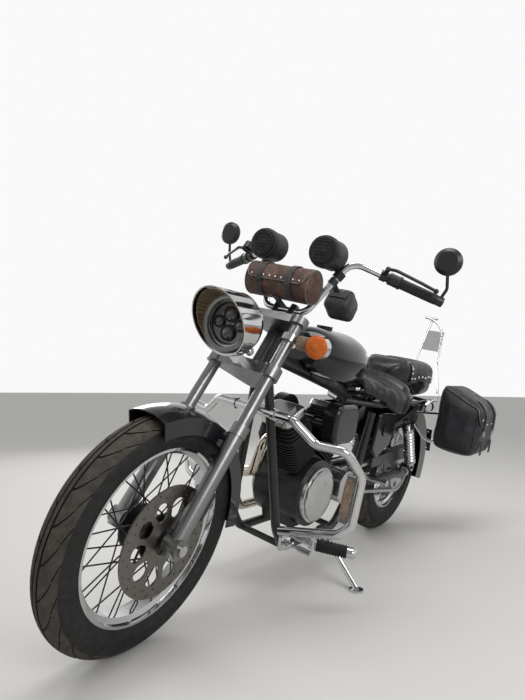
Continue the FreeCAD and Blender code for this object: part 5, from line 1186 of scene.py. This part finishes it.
def seat_point(across, along):
    """The rider's seat from skirt to skirt, in the bike's frame."""
    x = 319 + 199 * along
    half, top, edge = between(SEAT_HALF, x), between(SEAT_TOP, x), between(SEAT_EDGE, x)
    share, side = abs(across), math.copysign(1.0, across)
    arch = min(SEAT_ARCH, (top - edge) * 0.5)
    drop = min(36.0, (top - arch - edge) * 0.55)
    if share < 0.6:
        part = share / 0.6
        dish = 7.0 * math.cos(part * math.pi / 2) if x > 300 else 0.0
        return Vector((x, side * half * 0.86 * part, top - dish - arch * part ** 2.3))
    if share < 0.8:
        turn = (share - 0.6) / 0.2 * math.pi / 2
        out, fall = half * (0.86 + 0.14 * math.sin(turn)), drop * (1 - math.cos(turn))
        return Vector((x, side * out, top - arch - fall))
    part = (share - 0.8) / 0.2
    low = top - arch - drop
    return Vector((x, side * half * (1.0 - 0.03 * part), low - (low - edge) * part))


def bike_point(x, y, z):
    return BIKE @ millimetres(x, y, z)


def bike_line(points):
    return [bike_point(*point) for point in points]


class CRUISER_OT_rider_seat(bpy.types.Operator):
    """Adds the rider's dished seat with its piping and studded skirts"""

    bl_idname = "cruiser.rider_seat"
    bl_label = "Rider seat"

    def execute(self, context):
        pad = thickened(sheet_over(seat_point, 76, 52), 15.0)
        pad = puffed(pad, 5.0, 2.0, 2.2)
        settle(pad, "rider_seat_pad", "chassis", "glossy", BIKE)
        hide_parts("rider_seat")
        welts, studs = [], []
        for side in (1, -1):
            run = [seat_point(side * 0.70, step / 10 - 0.55) for step in range(16)]
            welts.append(piping_on(pad, bike_line(run), 0.0026))
            hem = [seat_point(side * 0.985, step / 10 - 0.4) for step in range(14)]
            welts.append(piping_on(pad, bike_line(hem), 0.0022))
            places = [-0.10, 0.06, 0.22, 0.38, 0.54, 0.70]
            studs += [bike_point(*seat_point(side * 0.88, place)) for place in places]
        lip = [bike_point(*seat_point(step / 10 * 0.70, -0.07)) for step in range(-10, 11)]
        welts.append(piping_on(pad, lip, 0.0026))
        settle(merged(welts), "rider_seat_piping", "chassis", "glossy")
        settle(studs_on(pad, studs, 6.6, 4.4), "rider_seat_studs", "chassis", "chrome")
        return {"FINISHED"}


PILLION_HALF = [(-200, 84), (-150, 106), (0, 114), (160, 112), (230, 100), (262, 84)]
PILLION_TOP = [(-200, 800), (-150, 826), (0, 830), (110, 822)]
PILLION_TOP += [(140, 816), (185, 832), (235, 824), (262, 806)]


def pillion_point(x, y, z):
    ahead = 31 + 231 * x
    half, top = between(PILLION_HALF, ahead), between(PILLION_TOP, ahead)
    under = 716.0 if ahead > 96 else 668.0 + 48.0 * max(0.0, (ahead + 4) / 100)
    waist = 1.0 - 0.05 * (1 - z) / 2
    return Vector((ahead, y * half * waist, under + (top - under) * (z + 1) / 2))


def pillion_cover(across, along):
    """The studded cover laid over the pillion's rear part."""
    ahead = -8 + 168 * along
    half, top = between(PILLION_HALF, ahead), between(PILLION_TOP, ahead)
    share, side = abs(across), math.copysign(1.0, across)
    wave = 5.0 * math.cos(along * 9.4)
    if share < 0.55:
        return Vector((ahead, side * half * 0.92 * share / 0.55, top + 4 - 3 * (share / 0.55) ** 2))
    part = (share - 0.55) / 0.45
    return Vector((ahead, side * (half + 4 + 2 * part), top - 2 - (86 + wave) * part ** 1.15))


class CRUISER_OT_pillion_seat(bpy.types.Operator):
    """Adds the pillion seat with its studded cover"""

    bl_idname = "cruiser.pillion_seat"
    bl_label = "Pillion seat"

    def execute(self, context):
        pad = puffed(lozenge(pillion_point, 22, 5.0), 6.0, 2.5, 3.0)
        settle(pad, "pillion_pad", "chassis", "glossy", BIKE)
        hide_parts("pillion_seat")
        cover = set_in(sheet_over(pillion_cover, 60, 70), BIKE)
        flat = laid(cover, pad, 3.0, 2.2)
        settle(cover, "pillion_cover", "chassis", "cover")
        edges, studs = [], []
        for side in (1, -1):
            hem = [bike_point(*pillion_cover(side * 0.985, step / 10)) for step in range(-10, 11)]
            edges.append(piping_on(cover, hem, 0.0022))
            studs += [bike_point(*pillion_cover(side * 0.90, -0.9 + 0.225 * step)) for step in range(9)]
        studs += [bike_point(*pillion_cover(step / 7 * 0.78, 0.93)) for step in range(-7, 8)]
        front = [bike_point(*pillion_cover(step / 12, 0.985)) for step in range(-12, 13)]
        edges.append(piping_on(cover, front, 0.0022))
        channel = [bike_point(178, y, 834) for y in range(-96, 97, 12)]
        edges.append(piping_on(pad, channel, 0.0024))
        settle(merged(edges), "pillion_piping", "chassis", "glossy")
        settle(studs_on(cover, studs, 6.8, 4.4), "pillion_studs", "chassis", "chrome")
        return {"FINISHED"}


BAG_AHEAD = -210
BAG_OUT = 280.5
BAG_TOP = 756.0
BAG_FALL = 82.0


def bag_point(side):
    """Where the saddlebag's body lies: stiff, a little slack below and fuller at its outer side."""

    def place(x, y, z):
        high = BAG_TOP - BAG_FALL * (y + 1) / 2
        sag = 4.0 * max(0.0, -z) * math.cos(x * 1.5)
        outer = BAG_OUT + 98.0 * y + (3.0 * math.cos(x * 1.4) * (1 - z * z) if y > 0 else 0.0)
        return Vector((BAG_AHEAD + 160 * x, side * outer, 444 - sag * 0.5 + (high - 444) * (z + 1) / 2))

    return place


def lid_point(side):
    """The saddlebag's lid: from its hinge over the brow and down the outer face, round cornered."""

    def place(across, along):
        share = (along + 1) / 2
        reach = 1.0 - 0.30 * max(0.0, (share - 0.62) / 0.38) ** 2.6
        x = BAG_AHEAD + 163 * across * reach
        drop = 14.0 * abs(across) ** 2.2
        if share < 0.55:
            part = share / 0.55
            return Vector((x, side * (184 + 186 * part), 760 - (BAG_FALL - 6) * part))
        if share < 0.66:
            turn = (share - 0.55) / 0.11 * math.pi / 2
            out, fall = 16 * math.sin(turn), 16 * (1 - math.cos(turn))
            return Vector((x, side * (370 + out), 766 - BAG_FALL - fall))
        part = (share - 0.66) / 0.34
        return Vector((x, side * (386 - 2 * part), 750 - BAG_FALL - (116 - drop * 3) * part))

    return place


def bag_strap(side, ahead, low):
    """A flat strap from the lid's brow down the bag's outer face."""

    def place(across, along):
        share = (along + 1) / 2
        if share < 0.35:
            part = share / 0.35
            return Vector((ahead + 12 * across, side * (330 + 58 * part), 702 - 26 * part))
        part = (share - 0.35) / 0.65
        taper = 1 - 0.25 * max(0, part - 0.8) / 0.2
        return Vector((ahead + 12 * across * taper, side * 394, 670 - (670 - low) * part))

    return place


def buckle(at):
    """A rounded rectangular frame with its pin, in the plane of X and Z."""
    corners = [(-17, -11), (0, -13), (17, -11), (19, 0), (17, 11), (0, 13), (-17, 11), (-19, 0)]
    points = [at + millimetres(x, 0, z) for x, z in corners]
    frame_piece = meshed(soft_tube(points, 0.0020, closed=True))
    line = [at + millimetres(0, out, up) for out, up in ((0, -13), (1.5, 0), (0, 14))]
    pin = meshed(soft_tube(line, 0.0015))
    return merged([frame_piece, pin])


class CRUISER_OT_saddlebags(bpy.types.Operator):
    """Adds both saddlebags with lids, piping, straps, buckles and studs"""

    bl_idname = "cruiser.saddlebags"
    bl_label = "Saddlebags"

    def execute(self, context):
        for side, label in SIDES:
            body = puffed(lozenge(bag_point(side), 20, 9.0), 7.0, 4.0, 5.0)
            settle(body, f"{label}_bag_body", "chassis", "bag", BIKE)
            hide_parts(f"{label}_saddlebag")
            place = lid_point(side)
            lid = set_in(sheet_over(place, 48, 60), BIKE)
            flat = laid(lid, body, 2.6, 3.0)
            settle(lid, f"{label}_bag_lid", "chassis", "bag")
            welt = piping_on(lid, bike_line(three_sides(place)), 0.0026)
            settle(welt, f"{label}_bag_piping", "chassis", "welt")
            ends = []
            for ahead in (-52, -368):
                outline = []
                for step in range(25):
                    turn = step / 25 * math.tau
                    across, up = math.cos(turn), math.sin(turn)
                    size = (abs(across) ** 6 + abs(up) ** 6) ** (1 / 6)
                    high = BAG_TOP - BAG_FALL * (across / size + 1) / 2
                    out, rise = BAG_OUT + 97 * across / size, (up / size + 1) / 2
                    outline.append(bike_point(ahead, side * out, 446 + (high - 446) * rise))
                ends.append(piping_on(body, outline, 0.0026, True))
            settle(merged(ends), f"{label}_bag_welts", "chassis", "bag")
            straps, buckles, studs, tails = [], [], [], []
            for ahead in (-130, -290):
                strap = set_in(sheet_over(bag_strap(side, ahead, 512), 4, 40), BIKE)
                straps.append(thickened(draped(strap, lid, 3.4), 2.6, 0.0))
                buckles.append(buckle(millimetres(ahead, side * 392, 560)))
                studs += [bike_point(ahead, side * 392, 660), bike_point(ahead, side * 392, 620)]
                for row in range(5):
                    top = millimetres(ahead - 10 + row * 5, side * 391, 520)
                    tip = top + millimetres((row - 2) * 1.5, side * 1.0, -62 + 4 * (row % 2))
                    middle = (top + tip) / 2 + millimetres(1.5 - row * 0.6, side * 2.0, 0)
                    tails.append(meshed(soft_tube([top, middle, tip], 0.0019, sides=1)))
            settle(merged(straps), f"{label}_bag_straps", "chassis", "black")
            settle(merged(buckles), f"{label}_bag_buckles", "chassis", "chrome", BIKE)
            settle(merged(tails), f"{label}_bag_tails", "chassis", "black", BIKE)
            for step in (-3, -1, 1, 3):
                high = 600 if abs(step) < 2 else 622
                studs.append(bike_point(BAG_AHEAD + 40 * step, side * 392, high))
            settle(studs_on(lid, studs, 5.5, 3.6), f"{label}_bag_studs", "chassis", "chrome")
        return {"FINISHED"}


ROLL_AHEAD = 39
ROLL_HEIGHT = 808


def roll_point(angle, radius, side):
    """A point about the tool roll's middle: the angle is from straight ahead, upwards."""
    turn = math.radians(angle)
    return Vector((ROLL_AHEAD + radius * math.cos(turn), side, ROLL_HEIGHT + radius * math.sin(turn)))


def roll_flap(across, along):
    share = (along + 1) / 2
    reach = 1.0 - 0.16 * max(0.0, (share - 0.7) / 0.3) ** 2.2
    return roll_point(205 - 236 * share, 56, 112 * across * reach)


def roll_strap(side, first, last, radius):
    def place(across, along):
        angle = first + (last - first) * (along + 1) / 2
        return roll_point(angle, radius, side - 0.06 * (angle + 80) + 9 * across)

    return place


def roll_hanger(across, along):
    """The strap that ties the tool roll to the clamp behind it."""
    return Vector((-40 + 79 * (along + 1) / 2, 12 * across, 762 - 6 * along))


def fork_place(point):
    return FORK @ (Vector(point) * 0.001)


class CRUISER_OT_tool_roll(bpy.types.Operator):
    """Adds the leather tool roll with its flap, straps, piping and rivets"""

    bl_idname = "cruiser.tool_roll"
    bl_label = "Tool roll"

    def execute(self, context):
        outline = [(-114, 0), (-115, 30), (-113, 44), (-108, 50), (-96, 51.5), (-50, 51), (0, 50.4)]
        outline += [(50, 51), (96, 51.5), (108, 50), (113, 44), (115, 30), (114, 0)]
        body = lathe(outline, 64)
        turn = Matrix.Rotation(math.radians(90), 4, "Z")
        set_in(body, FORK @ Matrix.Translation(millimetres(ROLL_AHEAD, 0, ROLL_HEIGHT)) @ turn)
        body = puffed(body, 4.0, 4.0, 3.0)
        settle(body, "tool_roll_body", "steering", "brown")
        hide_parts("tool_roll")
        flap = set_in(sheet_over(roll_flap, 50, 50), FORK)
        flat = laid(flap, body, 2.4, 2.8)
        settle(flap, "tool_roll_flap", "steering", "brown")
        welts = [piping_on(flap, [fork_place(point) for point in three_sides(roll_flap)], 0.0024)]
        for side in (-109, 109):
            ring = [fork_place(roll_point(step * 15, 51, side)) for step in range(24)]
            welts.append(piping_on(body, ring, 0.0026, True))
        settle(merged(welts), "tool_roll_piping", "steering", "welt")
        straps, rivets = [], []
        for side in (-52, 52):
            over = (190, -27, 60, 60, flap, 2.6)
            below = (-20, -100, 55, 24, body, 2.6)
            loop = (-24, -38, 66, 6, body, 7.0)
            for first, last, radius, rows, under, lift in (over, below, loop):
                strap = set_in(sheet_over(roll_strap(side, first, last, radius), 4, rows), FORK)
                straps.append(thickened(draped(strap, under, lift), 2.6, 0.0))
            rivets += [fork_place(roll_point(60, 60, side - 8)), fork_place(roll_point(78, 60, side - 10))]
        straps.append(thickened(set_in(sheet_over(roll_hanger, 4, 8), FORK), 3.0, 0.0))
        settle(merged(straps), "tool_roll_straps", "steering", "black")
        for step in range(-4, 5):
            rivets.append(fork_place(roll_point(-20, 58, step * 21)))
        for side in (-96, 96):
            rivets += [fork_place(roll_point(60, 58, side)), fork_place(roll_point(100, 58, side))]
        settle(studs_on(flap, rivets, 3.4, 2.4), "tool_roll_rivets", "steering", "chrome")
        return {"FINISHED"}


class CRUISER_OT_bar_pouch(bpy.types.Operator):
    """Adds the soft pouch that hangs on the left riser"""

    bl_idname = "cruiser.bar_pouch"
    bl_label = "Bar pouch"

    def execute(self, context):
        def place(x, y, z):
            slack = 1.0 + 0.05 * (1 - z) / 2
            return Vector((-130 + 46 * x, 122 + 44 * y * slack, 882 + 37 * z))

        body = puffed(set_in(lozenge(place, 12, 6.0), FORK), 5.0, 4.0, 4.0)
        settle(body, "bar_pouch_body", "steering", "black")
        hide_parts("bar_pouch")

        def over(across, along):
            share = (along + 1) / 2
            if share < 0.5:
                return Vector((-180 + 50 * 2 * share, 122 + 42 * across, 922))
            part = (share - 0.5) * 2
            if part < 0.5:
                return Vector((-130 + 52 * part * 2, 122 + 42 * across, 922))
            return Vector((-78, 122 + 42 * across * (1.3 - 0.3 * part * 2), 922 - 44 * (part - 0.5) * 2))

        flap = set_in(sheet_over(over, 24, 40), FORK)
        flat = laid(flap, body, 2.0, 2.4)
        settle(flap, "bar_pouch_flap", "steering", "black")
        rise = (millimetres(4, 160, 958) - millimetres(-40, 72, 765)).normalized()
        held = millimetres(-40, 72, 765) + rise * (0.117 / rise.z)
        ring = lathe([(-10, 12), (-10, 14.6), (10, 14.6), (10, 12), (-10, 12)], 24)
        set_in(ring, facing_out(held, rise))
        middle = held * 1000
        tail = sheet_over(lambda a, b: Vector((middle.x - 24 - 26 * b, middle.y + 10 * a, middle.z)), 4, 8)
        tail = thickened(set_in(tail, FORK), 3.0, 0.0)
        settle(merged([ring, tail]), "bar_pouch_strap", "steering", "black")
        return {"FINISHED"}


def add_lamp(name, place, aim, size, power):
    """A large soft lamp that faces a point."""
    put_down()
    bpy.ops.object.light_add(type="AREA", location=place)
    lamp = bpy.context.object
    lamp.name = name
    lamp.data.shape = "RECTANGLE"
    lamp.data.size, lamp.data.size_y = size
    lamp.data.energy = power
    lamp.rotation_euler = (Vector(aim) - Vector(place)).to_track_quat("-Z", "Y").to_euler()


FLOOR_RADIUS = 40.0
CAMERA_PLACE = rear_centre + Vector((2.4567, 1.058971, 0.37991))
CAMERA_YAW = math.radians(216.10)
CAMERA_PITCH = math.radians(3.80)
CAMERA_ROLL = math.radians(0.53)


def add_floor(tint):
    put_down()
    bpy.ops.mesh.primitive_circle_add(vertices=128, radius=FLOOR_RADIUS, fill_type="NGON")
    floor = bpy.context.object
    floor.name = "studio_floor"
    made, tree, shader = new_material("Pale floor", Roughness=0.6, Specular_IOR_Level=0.25)
    point = object_point(tree)
    cloud = noise(tree, point, 1.2, 6.0, 0.6)
    darker = [part * 0.93 for part in tint]
    feed(shader.inputs["Base Color"], blend_of(tree, cloud, colour(tint), colour(darker)))
    floor.data.materials.append(made)


BACKGROUND = 0.95
CAMERA_SIDE = (0.81, 0.59, 0.0)


def add_world(strength):
    """White behind the bike. What shines sees it dimmer overhead and towards the camera's side."""
    world = bpy.data.worlds.new("Studio")
    world.use_nodes = True
    bpy.context.scene.world = world
    tree = world.node_tree
    tree.nodes.clear()
    path = add_node(tree, "LightPath").outputs
    way = add_node(tree, "TexCoord").outputs["Generated"]
    height = add_node(tree, "SeparateXYZ", {0: way}).outputs[2]
    front = add_node(tree, "VectorMath", {0: way, 1: CAMERA_SIDE}, operation="DOT_PRODUCT").outputs["Value"]
    overhead = stretch(tree, height, 0.45, 0.92, BACKGROUND, 0.30)
    shown = sum_of(tree, "MULTIPLY", overhead, stretch(tree, front, 0.25, 0.95, 1.0, 0.40))
    base = stretch(tree, path["Is Glossy Ray"], 0.0, 1.0, strength, shown)
    seen = sum_of(tree, "MAXIMUM", path["Is Camera Ray"], path["Is Transmission Ray"])
    level = stretch(tree, seen, 0.0, 1.0, base, BACKGROUND)
    back = add_node(tree, "Background", {"Color": grey(1.0), "Strength": level})
    add_node(tree, "OutputWorld", {"Surface": back.outputs[0]})


def add_camera(lens):
    forward = Vector(
        (
            math.cos(CAMERA_YAW) * math.cos(CAMERA_PITCH),
            math.sin(CAMERA_YAW) * math.cos(CAMERA_PITCH),
            math.sin(CAMERA_PITCH),
        )
    )
    level = forward.cross(Vector((0, 0, 1))).normalized()
    up = level.cross(forward)
    right = level * math.cos(CAMERA_ROLL) + up * math.sin(CAMERA_ROLL)
    put_down()
    bpy.ops.object.camera_add()
    camera = bpy.context.object
    camera.matrix_world = axes_at(CAMERA_PLACE, right, right.cross(forward), -forward)
    camera.data.sensor_width = 36.0
    camera.data.lens = lens
    camera.data.clip_start = 0.02
    bpy.context.scene.camera = camera


class CRUISER_OT_stage(bpy.types.Operator):
    """Adds the pale floor, the surround, the soft lamps and the camera"""

    bl_idname = "cruiser.stage"
    bl_label = "Stage"

    def execute(self, context):
        values = context.scene.cruiser_stage
        add_floor(values.floor)
        add_world(values.sky)
        add_lamp("overhead", (0.3, 0.4, 3.4), (0, 0, 0.4), (3.2, 1.2), 60.0)
        add_lamp("left_key", (1.6, 3.2, 2.0), (0, 0, 0.5), (1.6, 1.6), 50.0)
        add_lamp("right_rim", (-1.5, -3.2, 2.2), (0, 0, 0.6), (1.6, 1.6), 40.0)
        add_camera(values.lens)
        context.scene.view_settings.view_transform = "Standard"
        return {"FINISHED"}


OPERATORS = (
    CRUISER_OT_finishes,
    CRUISER_OT_tyres,
    CRUISER_OT_headlamp,
    CRUISER_OT_indicators,
    CRUISER_OT_pods,
    CRUISER_OT_guard_trim,
    CRUISER_OT_foot_rubbers,
    CRUISER_OT_rider_seat,
    CRUISER_OT_pillion_seat,
    CRUISER_OT_saddlebags,
    CRUISER_OT_tool_roll,
    CRUISER_OT_bar_pouch,
    CRUISER_OT_stage,
)


class CRUISER_PT_sidebar(bpy.types.Panel):
    """Lists the steps that dress the motorcycle"""

    bl_idname = "CRUISER_PT_sidebar"
    bl_label = "Cruiser Motorcycle"
    bl_space_type = "VIEW_3D"
    bl_region_type = "UI"
    bl_category = "Cruiser"

    def draw(self, context):
        for group in (context.scene.cruiser_finish, context.scene.cruiser_stage):
            for name in group.__annotations__:
                self.layout.prop(group, name)
        for step in OPERATORS:
            self.layout.operator(step.bl_idname)


CLASSES = (CruiserFinish, CruiserStage, *OPERATORS, CRUISER_PT_sidebar)


def register():
    for item in CLASSES:
        bpy.utils.register_class(item)
    bpy.types.Scene.cruiser_finish = PointerProperty(type=CruiserFinish)
    bpy.types.Scene.cruiser_stage = PointerProperty(type=CruiserStage)


def unregister():
    del bpy.types.Scene.cruiser_stage
    del bpy.types.Scene.cruiser_finish
    for item in reversed(CLASSES):
        bpy.utils.unregister_class(item)


def main():
    register()
    for step in OPERATORS:
        family, name = step.bl_idname.split(".")
        getattr(getattr(bpy.ops, family), name)()


if __name__ == "__main__":
    main()
